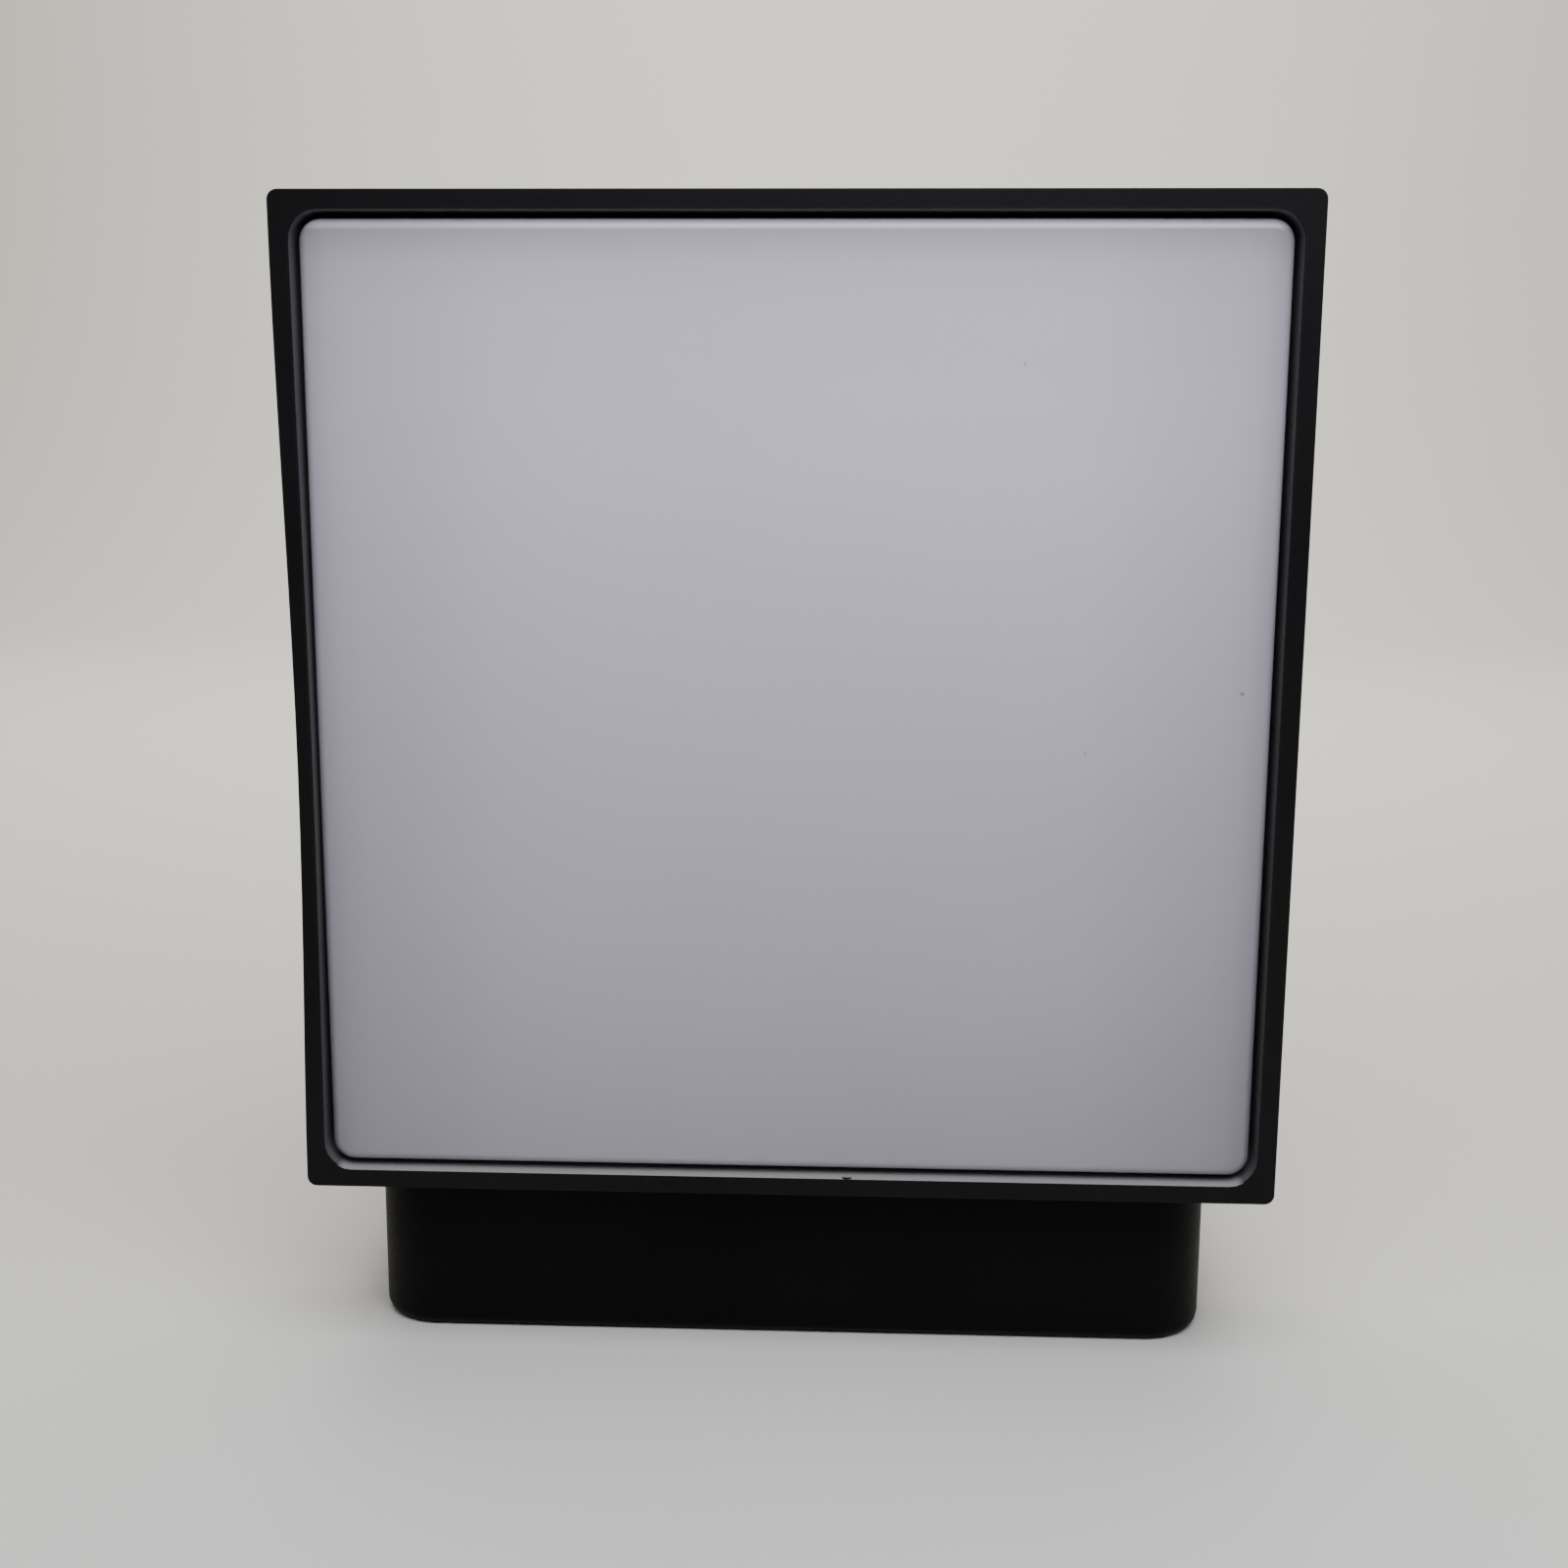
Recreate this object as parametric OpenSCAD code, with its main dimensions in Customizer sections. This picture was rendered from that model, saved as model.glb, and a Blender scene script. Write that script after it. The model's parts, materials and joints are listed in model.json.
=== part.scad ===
// Solar garden light: a square light head with an opal face and a solar panel on its back,
// tilting on a hollow pivot above a battery base that screws to a wall or a deck.
// Millimetres. +Z is up, +X is to the right of the light face, and the face looks along -Y.
// The origin is the centre of the base's underside.

/* [Head] */
// Width and height of the square head
head_w = 120; // [110:1:140]
// Wall thickness of the head frame, which is also the width of its front rim
head_wall = 2.2; // [1.8:0.1:3]
// Depth of the head frame from its front rim to the joint with the back cover
frame_depth = 24; // [23:0.5:30]
// Radius of the head's outer corners
head_r = 1.2; // [0.8:0.1:2]
// Thickness of the back cover
cover_t = 4; // [3.8:0.1:6]

/* [Diffuser] */
// How far the opal face sits behind the frame's front rim
lens_recess = 1; // [0.6:0.1:4]
// Gap between the diffuser and the frame
lens_gap = 0.8; // [0.3:0.1:1.2]
// Thickness of the opal face
lens_t = 2; // [1.5:0.1:3]
// Radius of the diffuser's corners
lens_r = 2.6; // [2:0.1:4]
// Depth of the diffuser from its face to the end of its skirt
lens_depth = 7.8; // [6:0.1:8]

/* [Base] */
// Width of the base
base_w = 108.5; // [104:0.5:112]
// Depth of the base, front to back
base_d = 72; // [70:1:90]
// Height of the base
base_h = 21.6; // [21:0.1:26]
// Radius of the base's upright corners
base_r = 8; // [6:0.5:10]
// Rounding of the base's lower edge
base_edge = 1.8; // [1:0.1:1.9]
// Rounding of the base's upper edge
base_top_edge = 1; // [0.5:0.1:1.5]
// Wall thickness of the base
base_wall = 2.2; // [2:0.1:2.4]
// How far the head's face stands ahead of the base's front
overhang = 8; // [6:0.5:10]
// Gap between the head and the top of the base
head_gap = 1; // [0.8:0.1:2]

/* [Pivot] */
// Distance of the pivot's axis behind the back cover
axis_back = 11; // [10.5:0.5:13]
// Height of the pivot's axis above the base
axis_up = 10.4; // [10.2:0.2:13]
// Outer radius of the pivot's knuckles
knuckle_r = 8; // [7.5:0.5:9]
// Width of the middle knuckle, which stands on the base
knuckle_w = 40; // [36:1:50]
// Width of each ear on the back cover
ear_w = 7; // [6:0.5:9]

/* [Solar panel] */
// Width of the solar panel
panel_w = 108; // [100:1:109]
// Height of the solar panel
panel_h = 92; // [85:1:92]
// Number of cells across the panel
cell_columns = 6; // [4:1:8]
// Number of cells up the panel
cell_rows = 2; // [1:1:3]

/* [Battery and mounting] */
// Number of AA cells side by side
battery_n = 3; // [2:1:3]
// Radius of the holes that fasten the base down
mount_hole_r = 2.2; // [2:0.1:2.4]
// Distance between those holes
mount_spacing = 84; // [82:1:86]
// Travel of the mode button
button_travel = 0.6; // [0.4:0.1:0.7]

/* [Hidden] */
$fn = 48;
cut = 1; // how far a cutting shape runs past the face it cuts
joint = 0.1; // how far two shapes of one piece run into each other
edge_steps = 4; // steps in each quarter round of the base
base_steps = 8; // steps round each upright corner of the base

// Head, from the front rim backwards. Depths in the head are measured from that rim.
head_y = -base_d / 2 - overhang;
head_z = base_h + head_gap + head_w / 2;
cavity_w = head_w - 2 * head_wall;
lens_seal_t = 0.4;
ledge_at = lens_recess + lens_depth + lens_seal_t;
ledge_t = 2;
ledge_w = 4;
tray_slice_t = 0.01;
lens_w = cavity_w - 2 * lens_gap;
lens_edge = 1.2;
skirt_t = 1.6;
board_at = ledge_at + ledge_t;
board_t = 1.6;
board_w = 112;
rim_l = 3;
rim_w = cavity_w - 2;
rim_t = 1.6;
root = 0.5; // how far the rim and the ears run into the cover

// Screw places in the head's corners
corner_at = head_w / 2 - 6.4;
corner_cut = 9.4;
boss_r = 3.4;
pilot_r = 1.25;
screw_hole_r = 1.7;
screw_r = pilot_r - 0.02;
screw_l = 7;
screw_tip_r = 0.2;
screw_head_r = 2.8;
cover_recess = 2;
cover_recess_r = 3.2;
plate_recess = 1.4;
plate_recess_r = 3.1;

// LEDs
led_n = 4;
led_pitch = 24;
led_size = [2.8, 0.8, 3.5];
led_plug = [9, 4.6, 6];
led_plug_x = 12;
led_plug_z = head_z - 46;

// Solar panel, let into the back cover
back_y = head_y + frame_depth + cover_t;
panel_pocket = 2.7;
panel_gap = 0.3;
panel_r = 1.5;
panel_z = head_z + 2.9;
panel_lead_z = panel_z - panel_h / 2 + 12;
panel_lead_r = 2.4;
panel_bed = 0.1; // adhesive under the panel
substrate_t = 1.2;
cell_t = 0.3;
glass_t = 1.3;
panel_margin = 1.7;
cell_pitch_x = (panel_w - 2 * panel_margin) / cell_columns;
cell_pitch_z = (panel_h - 2 * panel_margin) / cell_rows;
cell_space = 0.8;

// Pivot
axis_y = back_y + axis_back;
axis_z = base_h + axis_up;
tube_r = 5;
tube_wall = 1.6;
pivot_play = 0.05;
washer_t = 0.6;
washer_play = 0.2;
ear_x = knuckle_w / 2 + washer_t + washer_play;
neck_d = 12;
lead_slot_w = 14;
lead_slot_d = 5;
channel_r = 1.8; // lead channel through each ear
tube_fit = 0.01; // play of the tube in the ears that grip it

// Base
plate_t = 2.2;
seal_t = 0.6;
base_ledge = plate_t + seal_t;
base_ledge_t = 2;
base_in_w = base_w - 2 * base_wall;
base_in_d = base_d - 2 * base_wall;
base_in_r = base_r - base_wall;
ledge_in = 1.8;
plate_play = 0.2;
plate_screw_x = base_w / 2 - 5.9;
plate_screw_ys = [-23, 10];
mount_y = 25;
mount_column_r = 5.6;
mount_column_play = 0.2;
mount_recess = 2.4;
mount_recess_r = 4.4;

// Battery: cells lie across the base, one each side of the gap under the pivot's lead slot
cell_d = 14.5;
cell_l = 50.5;
battery_pitch = 15.2;
holder_t = 1.2;
holder_w = 60;
holder_x = -34;
first_cell_y = axis_y - battery_pitch / 2;
battery_z = plate_t + holder_t + cell_d / 2;
spring_l = 5;
cell_seat = 0.01; // clearance under the cells
stud_r = 2.75;
stud_l = 1;
contact_t = 0.5;

// Controller board and mode button
pcb_x = base_w / 2 - 25;
pcb_w = 19;
pcb_y = -27;
pcb_d = 42;
pcb_z = 6;
pcb_top = pcb_z + board_t;
pcb_screw_x = pcb_x + 5;
pcb_screw_ys = [pcb_y + 9, pcb_y + 37];
plug_h = 5.5;
plug_d = 5;
plug_y = pcb_y + 0.4 + plug_d / 2;
lamp_plug_x = pcb_x + 2;
lamp_plug_w = 6.5;
battery_plug_x = pcb_x + 9.2;
battery_plug_w = 5.5;
button_y = -6;
button_z = pcb_top + 3.4;
button_r = 4.2;
button_hole_r = 4.5;
button_out = 1;
switch_face = base_w / 2 - 7.6;
switch_w = 6.2;
switch_t = 3.6;
plunger_in = 1.6; // how far the plunger sits inside the switch at rest
plunger_out = 0.8;
plunger_r = 1.2;
plunger_play = 0.1;
well_spare = 0.4; // depth left behind the plunger when it is fully in

// Leads
lead_r = 0.7;
lead_bend = 1.2;

// ---------- shapes ----------

// Points of a rounded rectangle about the origin, n straight pieces to a corner
function round_rect(w, h, r, n = 6) = [
    for (c = [[1, 1, 0], [-1, 1, 90], [-1, -1, 180], [1, -1, 270]])
        for (i = [0:n])
            let (a = c[2] + i * 90 / n)
                [c[0] * (w / 2 - r) + r * cos(a), c[1] * (h / 2 - r) + r * sin(a)]
];

// A rounded plate lying flat, from z = 0 up
module flat_plate(w, d, t, r) {
    linear_extrude(t) polygon(round_rect(w, d, r));
}

// A rounded plate standing up in the head, from depth `at` backwards
module head_plate(w, h, at, t, r, n = 6) {
    translate([0, head_y + at + t, head_z])
        rotate([90, 0, 0])
            linear_extrude(t) polygon(round_rect(w, h, r, n));
}

// A cylinder along +Y from (x, y, z)
module rod_y(x, y, z, r, l) {
    translate([x, y, z]) rotate([-90, 0, 0]) cylinder(r = r, h = l);
}

// A cylinder along +X from (x, y, z)
module rod_x(x, y, z, r, l) {
    translate([x, y, z]) rotate([0, 90, 0]) cylinder(r = r, h = l);
}

// Places of the screws in the head's four corners
module at_head_corners() {
    for (sx = [-1, 1], sz = [-1, 1])
        translate([sx * corner_at, 0, head_z + sz * corner_at]) children();
}

// Places of the underside plate's screws
module at_plate_screws() {
    for (sx = [-1, 1], y = plate_screw_ys)
        translate([sx * plate_screw_x, y, 0]) children();
}

// Places of the control board's screws
module at_pcb_screws() {
    for (y = pcb_screw_ys)
        translate([pcb_screw_x, y, 0]) children();
}

// Places of the two holes that fasten the base down
module at_mounts() {
    for (sx = [-1, 1])
        translate([sx * mount_spacing / 2, mount_y, 0]) children();
}

// A pan-head screw with a cross recess, its head's underside at z = 0 and its shank down -Z
module pan_screw(r, l, head_r, head_h) {
    difference() {
        union() {
            cylinder(r = head_r, h = head_h);
            translate([0, 0, -l]) cylinder(r = r, h = l + joint);
            translate([0, 0, -l - r]) cylinder(r1 = screw_tip_r, r2 = r, h = r);
        }
        for (a = [0, 90])
            rotate([0, 0, a])
                translate([-head_r * 0.6, -head_r * 0.13, head_h * 0.4])
                    cube([head_r * 1.2, head_r * 0.26, head_h]);
    }
}

// Direction of a route at point i: along its one run at an end, between its two runs elsewhere
function unit(v) = v / norm(v);
function route_way(p, i) =
    i == 0 ? unit(p[1] - p[0])
    : i == len(p) - 1 ? unit(p[i] - p[i - 1])
    : unit(unit(p[i] - p[i - 1]) + unit(p[i + 1] - p[i]));

// Points along a route whose corners are cut to short arcs
function eased(p) = [
    for (i = [0:len(p) - 1])
        if (i == 0 || i == len(p) - 1)
            p[i]
        else
            let (a = p[i] + unit(p[i - 1] - p[i]) * lead_bend,
                 b = p[i] + unit(p[i + 1] - p[i]) * lead_bend)
                each [a, (a + b) / 4 + p[i] / 2, b]
];

// A closed solid skinned over rings of points, each ring anticlockwise about the way they run
module skin(rings) {
    n = len(rings[0]);
    last = (len(rings) - 1) * n;
    walls = [
        for (i = [0:len(rings) - 2], k = [0:n - 1])
            let (a = i * n + k, b = i * n + (k + 1) % n)
                [a, a + n, b + n, b]
    ];
    polyhedron(
        points = [for (ring = rings) each ring],
        faces = concat(walls, [[for (k = [0:n - 1]) k]], [[for (k = [0:n - 1]) last + n - 1 - k]])
    );
}

// A wire swept along a route, with flat sides
module lead(route) {
    sides = 8;
    across = [0.36, 0.48, 0.8]; // a direction that no run of any route takes
    p = eased(route);
    skin([
        for (i = [0:len(p) - 1])
            let (w = route_way(p, i), u = unit(cross(w, across)), v = cross(w, u))
                [
                    for (k = [0:sides - 1])
                        p[i] + lead_r * (cos(360 * k / sides) * u + sin(360 * k / sides) * v)
                ]
    ]);
}

// ---------- head ----------

// The square frame, with a ledge that the lens and the LED board sit on
module head_frame() {
    color("#1b1b1d")
        difference() {
            union() {
                difference() {
                    head_plate(head_w, head_w, 0, frame_depth, head_r);
                    head_plate(cavity_w, cavity_w, -cut, ledge_at + cut, lens_r + lens_gap);
                    head_plate(cavity_w - 2 * ledge_w, cavity_w - 2 * ledge_w,
                               ledge_at - cut, ledge_t + 2 * cut, lens_r);
                    head_plate(cavity_w, cavity_w, board_at,
                               frame_depth - board_at + cut, lens_r);
                }
                at_head_corners() {
                    rod_y(0, head_y + board_at, 0, boss_r, frame_depth - board_at);
                }
                frame_boss_webs();
            }
            at_head_corners()
                rod_y(0, head_y + board_at + 1, 0, pilot_r, frame_depth);
        }
}

// Blocks that tie the screw bosses into the frame's corners
module frame_boss_webs() {
    web = 4.6;
    web_start = 0.2; // how far outside the boss's axis each block starts
    for (sx = [-1, 1], sz = [-1, 1])
        translate([
            sx * (corner_at + web / 2 + web_start) - web / 2,
            head_y + board_at,
            head_z + sz * (corner_at + web / 2 + web_start) - web / 2
        ])
            cube([web, frame_depth - board_at, web]);
}

// The opal lens: a shallow open box with a rounded front edge
module diffuser() {
    slice = 0.1;
    color("#e9e8ee")
        difference() {
            hull() {
                for (i = [0:3])
                    let (a = 30 * i, inset = lens_edge * (1 - sin(a)))
                        head_plate(lens_w - 2 * inset, lens_w - 2 * inset,
                                   lens_recess + lens_edge * (1 - cos(a)), slice,
                                   lens_r - inset * 0.5, 4);
                head_plate(lens_w, lens_w, lens_recess + lens_depth - slice, slice, lens_r, 4);
            }
            head_plate(lens_w - 2 * skirt_t, lens_w - 2 * skirt_t, lens_recess + lens_t,
                       lens_depth, lens_r - skirt_t / 2);
        }
}

// A thin ring between the lens's skirt and the frame's ledge
module lens_seal() {
    seal_w = 2;
    color("#d8d8d8")
        difference() {
            head_plate(lens_w, lens_w, ledge_at - lens_seal_t, lens_seal_t, lens_r);
            head_plate(lens_w - 2 * seal_w, lens_w - 2 * seal_w, ledge_at - cut, 3 * cut,
                       lens_r - 1);
        }
}

// A thin slice of the tray's funnel, at depth `at`
module tray_slice(w, at) {
    corner_r = 3;
    head_plate(w, w, at, tray_slice_t, corner_r);
}

// A funnel that stands on the LED board and spreads the light over the lens
module reflector_tray() {
    tray_play = 1.1; // space between the lens's back and the funnel's mouth
    mouth_at = lens_recess + lens_t + tray_play;
    mouth_w = 109;
    floor_w = 98;
    tray_wall = 1;
    led_hole_r = 2.6;
    color("#f6f6f4")
        difference() {
            hull() {
                tray_slice(mouth_w, mouth_at);
                tray_slice(floor_w, board_at - tray_slice_t);
            }
            hull() {
                tray_slice(mouth_w - 2 * tray_wall, mouth_at - joint);
                tray_slice(floor_w - 2 * tray_wall, board_at - tray_wall);
            }
            at_leds()
                rotate([90, 0, 0])
                    cylinder(r = led_hole_r, h = 3 * tray_wall, center = true);
        }
}

// Places of the LEDs on the front of their board
module at_leds() {
    for (i = [0:led_n - 1], j = [0:led_n - 1])
        translate([
            (i - (led_n - 1) / 2) * led_pitch,
            head_y + board_at,
            head_z + (j - (led_n - 1) / 2) * led_pitch
        ])
            children();
}

// The LED board, notched at the frame's screw bosses
module led_board() {
    color("#f2f2ee")
        difference() {
            head_plate(board_w, board_w, board_at, board_t, 2);
            at_head_corners()
                translate([-corner_cut / 2, head_y + board_at - cut, -corner_cut / 2])
                    cube([corner_cut, board_t + 2 * cut, corner_cut]);
        }
}

// The LEDs on the front of the board
module leds() {
    color("#f4e7a8")
        at_leds()
            translate([-led_size[0] / 2, -led_size[1], -led_size[2] / 2]) cube(led_size);
}

// The socket on the back of the LED board
module led_connector() {
    plug_wall = 1;
    socket_depth = 3;
    color("#efeee6")
        translate([led_plug_x, head_y + board_at + board_t, led_plug_z])
            difference() {
                cube(led_plug);
                translate([plug_wall, plug_wall, -cut])
                    cube([led_plug[0] - 2 * plug_wall, led_plug[1] - 2 * plug_wall,
                          socket_depth + cut]);
            }
}

// The back cover, with four pillars that press the LED board against its ledge
module back_cover() {
    pillar_at = 40;
    pillar_r = 2;
    color("#1d1d1f")
        difference() {
            union() {
                head_plate(head_w, head_w, frame_depth, cover_t, head_r);
                cover_rim();
                for (sx = [-1, 1], sz = [-1, 1])
                    rod_y(sx * pillar_at, head_y + board_at + board_t, head_z + sz * pillar_at,
                          pillar_r, frame_depth - board_at - board_t + joint);
                for (side = [-1, 1]) cover_ear(side);
            }
            // pocket for the solar panel, and the hole for its leads
            translate([0, back_y + cut, panel_z])
                rotate([90, 0, 0])
                    linear_extrude(panel_pocket + cut)
                        polygon(round_rect(panel_w + 2 * panel_gap,
                                           panel_h + 2 * panel_gap,
                                           panel_r + panel_gap));
            rod_y(0, head_y, panel_lead_z, panel_lead_r, frame_depth + cover_t);
            // screws
            at_head_corners() {
                rod_y(0, head_y + frame_depth - cut, 0, screw_hole_r, cover_t + 2 * cut);
                rod_y(0, back_y - cover_recess, 0, cover_recess_r, cover_recess + cut);
            }
            // bore for the pivot tube, and the lead channel in each ear
            rod_x(-head_w / 2, axis_y, axis_z, tube_r - pivot_play + tube_fit, head_w);
            for (side = [-1, 1])
                rod_y(side * (ear_x + ear_w / 2), head_y + frame_depth - cut, axis_z,
                      channel_r, axis_y - back_y + cover_t + cut);
        }
}

// Clears a strip of the head's depth round each corner's screw boss
module corner_notches(at, t) {
    beyond = 4;
    w = corner_cut + 2 * beyond;
    at_head_corners()
        translate([-w / 2, head_y + at, -w / 2]) cube([w, t, w]);
}

// Locating rim that slips inside the frame, notched at the screw bosses
module cover_rim() {
    difference() {
        head_plate(rim_w, rim_w, frame_depth - rim_l, rim_l + root, lens_r);
        head_plate(rim_w - 2 * rim_t, rim_w - 2 * rim_t, frame_depth - rim_l - cut,
                   rim_l + cut, lens_r - 1);
        corner_notches(frame_depth - rim_l - cut, rim_l + cut);
    }
}

// One pivot ear on the back cover
module cover_ear(side) {
    x0 = side > 0 ? ear_x : -ear_x - ear_w;
    rod_x(x0, axis_y, axis_z, knuckle_r, ear_w);
    translate([x0, back_y - root, axis_z - knuckle_r])
        cube([ear_w, axis_back + root, 2 * knuckle_r]);
}

// The four strips of seal between the cover's rim and the frame
module cover_seal() {
    cover_seal_t = 1.6;
    color("#5a5a5c")
        difference() {
            head_plate(cavity_w, cavity_w, frame_depth - cover_seal_t, cover_seal_t, lens_r);
            head_plate(rim_w, rim_w, frame_depth - cover_seal_t - cut, cover_seal_t + 2 * cut,
                       lens_r);
            corner_notches(frame_depth - cover_seal_t - cut, cover_seal_t + 2 * cut);
        }
}

// The four screws of the back cover
module cover_screws() {
    color("#8f9092")
        at_head_corners()
            translate([0, back_y - cover_recess, 0])
                rotate([-90, 0, 0]) pan_screw(screw_r, screw_l, screw_head_r, 1.7);
}

// ---------- solar panel ----------

// A plate of the panel, its front `at` behind the pocket's floor
module panel_layer(w, h, at, t, r) {
    translate([0, back_y - panel_pocket + at + t, panel_z])
        rotate([90, 0, 0])
            linear_extrude(t) polygon(round_rect(w, h, r));
}

// The panel's backing board
module panel_substrate() {
    color("#101820") panel_layer(panel_w, panel_h, panel_bed, substrate_t, panel_r);
}

// Places of the cells in the panel
module at_solar_cells() {
    for (i = [0:cell_columns - 1], j = [0:cell_rows - 1])
        translate([
            (i - (cell_columns - 1) / 2) * cell_pitch_x,
            back_y - panel_pocket + panel_bed + substrate_t,
            panel_z + (j - (cell_rows - 1) / 2) * cell_pitch_z
        ])
            children();
}

// One cell of thickness t, standing on its front face
module solar_cell(t) {
    w = cell_pitch_x - cell_space;
    h = cell_pitch_z - cell_space;
    translate([-w / 2, 0, -h / 2]) cube([w, t, h]);
}

// The cells on that board
module solar_cells() {
    color("#12233f") at_solar_cells() solar_cell(cell_t);
}

// The clear front, with the cells bedded in it
module panel_glass() {
    color("#a9c4d6", 0.35)
        difference() {
            panel_layer(panel_w, panel_h, panel_bed + substrate_t, glass_t, panel_r);
            at_solar_cells() translate([0, -cut, 0]) solar_cell(cell_t + cut);
        }
}

// ---------- pivot ----------

// The hollow pivot, open below so that the leads can pass at every tilt
module pivot_tube() {
    window_w = lead_slot_w + 2;
    window_front = 2;
    window_up = 2;
    tube_short = 0.2; // how far each end stays inside its ear
    l = 2 * (ear_x + ear_w - tube_short);
    r = tube_r - pivot_play;
    color("#b9bbbd")
        difference() {
            rod_x(-l / 2, axis_y, axis_z, r, l);
            rod_x(-l / 2 - cut, axis_y, axis_z, r - tube_wall, l + 2 * cut);
            // window that lets the leads out downwards at every tilt
            translate([-window_w / 2, axis_y - window_front, axis_z - tube_r - cut])
                cube([window_w, window_front + tube_r + cut, tube_r + cut + window_up]);
            for (side = [-1, 1])
                rod_y(side * (ear_x + ear_w / 2), axis_y - tube_r - cut, axis_z, channel_r,
                      tube_r + cut);
        }
}

// A friction washer each side of the knuckle
module pivot_washers() {
    washer_in = 0.5; // how far the washer's edge stays inside the knuckle's
    color("#2b2b2d")
        for (side = [-1, 1])
            translate([side * (ear_x - washer_t / 2), axis_y, axis_z])
                rotate([0, 90, 0])
                    difference() {
                        cylinder(r = knuckle_r - washer_in, h = washer_t, center = true);
                        cylinder(r = tube_r, h = washer_t + cut, center = true);
                    }
}

// A cap over each end of the pivot
module pivot_caps() {
    cap_t = 1;
    stub_l = 2.6;
    color("#1b1b1d")
        for (side = [-1, 1])
            translate([side * (ear_x + ear_w), axis_y, axis_z])
                rotate([0, side * 90, 0]) {
                    cylinder(r = tube_r + 1, h = cap_t);
                    translate([0, 0, -stub_l])
                        cylinder(r = tube_r - pivot_play - tube_wall - tube_fit,
                                 h = stub_l + joint);
                }
}

// One lead from the LED board's plug and one from the panel, each down through an ear
module head_leads() {
    channel_x = ear_x + ear_w / 2;
    cover_y = head_y + frame_depth - 1.5;
    plug_x = 14.5;
    in_tube = 2;
    color("#a02018") {
        lead([
            [plug_x, head_y + board_at + board_t + led_plug[1] + 1, led_plug_z + 2],
            [plug_x, cover_y, axis_z + 6],
            [channel_x, cover_y, axis_z],
            [channel_x, axis_y, axis_z],
            [in_tube, axis_y, axis_z + 1]
        ]);
        lead([
            [-0.9, back_y - panel_pocket - 2, panel_lead_z],
            [-channel_x, cover_y, axis_z],
            [-channel_x, axis_y, axis_z],
            [-in_tube, axis_y, axis_z + 1]
        ]);
    }
}

// ---------- base ----------

// The outline of the base's form at height z, drawn in by `inset` all round
function base_ring(z, inset) = [
    for (p = round_rect(base_w - 2 * inset, base_d - 2 * inset, base_r - inset, base_steps))
        [p[0], p[1], z]
];

// The base's outer form: upright sides with a quarter round below and a smaller one above
module base_form() {
    lower = [
        for (i = [0:edge_steps])
            let (a = 90 * i / edge_steps)
                base_ring(base_edge * (1 - cos(a)), base_edge * (1 - sin(a)))
    ];
    upper = [
        for (i = [0:edge_steps])
            let (a = 90 * i / edge_steps)
                base_ring(base_h - base_top_edge * (1 - sin(a)), base_top_edge * (1 - cos(a)))
    ];
    skin(concat(lower, upper));
}

// The base's shell with its fastening columns, screw bosses and the pivot's knuckle
module base_shell() {
    pilot_l = 9;
    color("#19191b")
        difference() {
            union() {
                difference() {
                    base_form();
                    translate([0, 0, -cut])
                        flat_plate(base_in_w, base_in_d, base_ledge + cut, base_in_r);
                    translate([0, 0, base_ledge - cut])
                        flat_plate(base_in_w - 2 * ledge_in, base_in_d - 2 * ledge_in,
                                   base_ledge_t + 2 * cut, base_in_r - ledge_in / 2);
                    translate([0, 0, base_ledge + base_ledge_t])
                        flat_plate(base_in_w, base_in_d,
                                   base_h - base_wall - base_ledge - base_ledge_t, base_in_r);
                }
                at_mounts() cylinder(r = mount_column_r, h = base_h - base_wall + joint);
                at_plate_screws() plate_screw_boss();
                rod_x(-knuckle_w / 2, axis_y, axis_z, knuckle_r, knuckle_w);
                translate([-knuckle_w / 2, axis_y - neck_d / 2, base_h - joint])
                    cube([knuckle_w, neck_d, axis_z - base_h + joint]);
            }
            at_mounts() {
                translate([0, 0, -cut]) cylinder(r = mount_hole_r, h = base_h + 2 * cut);
                translate([0, 0, base_h - mount_recess])
                    cylinder(r = mount_recess_r, h = mount_recess + cut);
            }
            at_plate_screws()
                translate([0, 0, base_ledge - cut]) cylinder(r = pilot_r, h = pilot_l + cut);
            rod_x(-knuckle_w / 2 - cut, axis_y, axis_z, tube_r, knuckle_w + 2 * cut);
            translate([-lead_slot_w / 2, axis_y - lead_slot_d / 2, base_h - base_wall - cut])
                cube([lead_slot_w, lead_slot_d, axis_z - base_h + base_wall]);
            rod_x(base_w / 2 - base_wall - cut, button_y, button_z, button_hole_r,
                  base_wall + 2 * cut);
        }
}

// Screw boss on the inside of the base's side wall
module plate_screw_boss() {
    l = base_h - base_wall - base_ledge + joint;
    translate([0, 0, base_ledge]) cylinder(r = boss_r, h = l);
}

// The plate that closes the underside, with two posts that carry the control board
module base_plate() {
    post_r = 2.4;
    post_pilot_r = 0.95;
    post_floor = 0.8;
    color("#202022")
        difference() {
            flat_plate(base_in_w - 2 * plate_play, base_in_d - 2 * plate_play, plate_t,
                       base_in_r);
            at_mounts()
                translate([0, 0, -cut])
                    cylinder(r = mount_column_r + mount_column_play, h = plate_t + 2 * cut);
            at_plate_screws() {
                translate([0, 0, -cut]) cylinder(r = screw_hole_r, h = plate_t + 2 * cut);
                translate([0, 0, -cut]) cylinder(r = plate_recess_r, h = plate_recess + cut);
            }
        }
    color("#202022")
        at_pcb_screws()
            translate([0, 0, plate_t - joint])
                difference() {
                    cylinder(r = post_r, h = pcb_z - plate_t + joint);
                    translate([0, 0, post_floor]) cylinder(r = post_pilot_r, h = pcb_z);
                }
}

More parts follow.
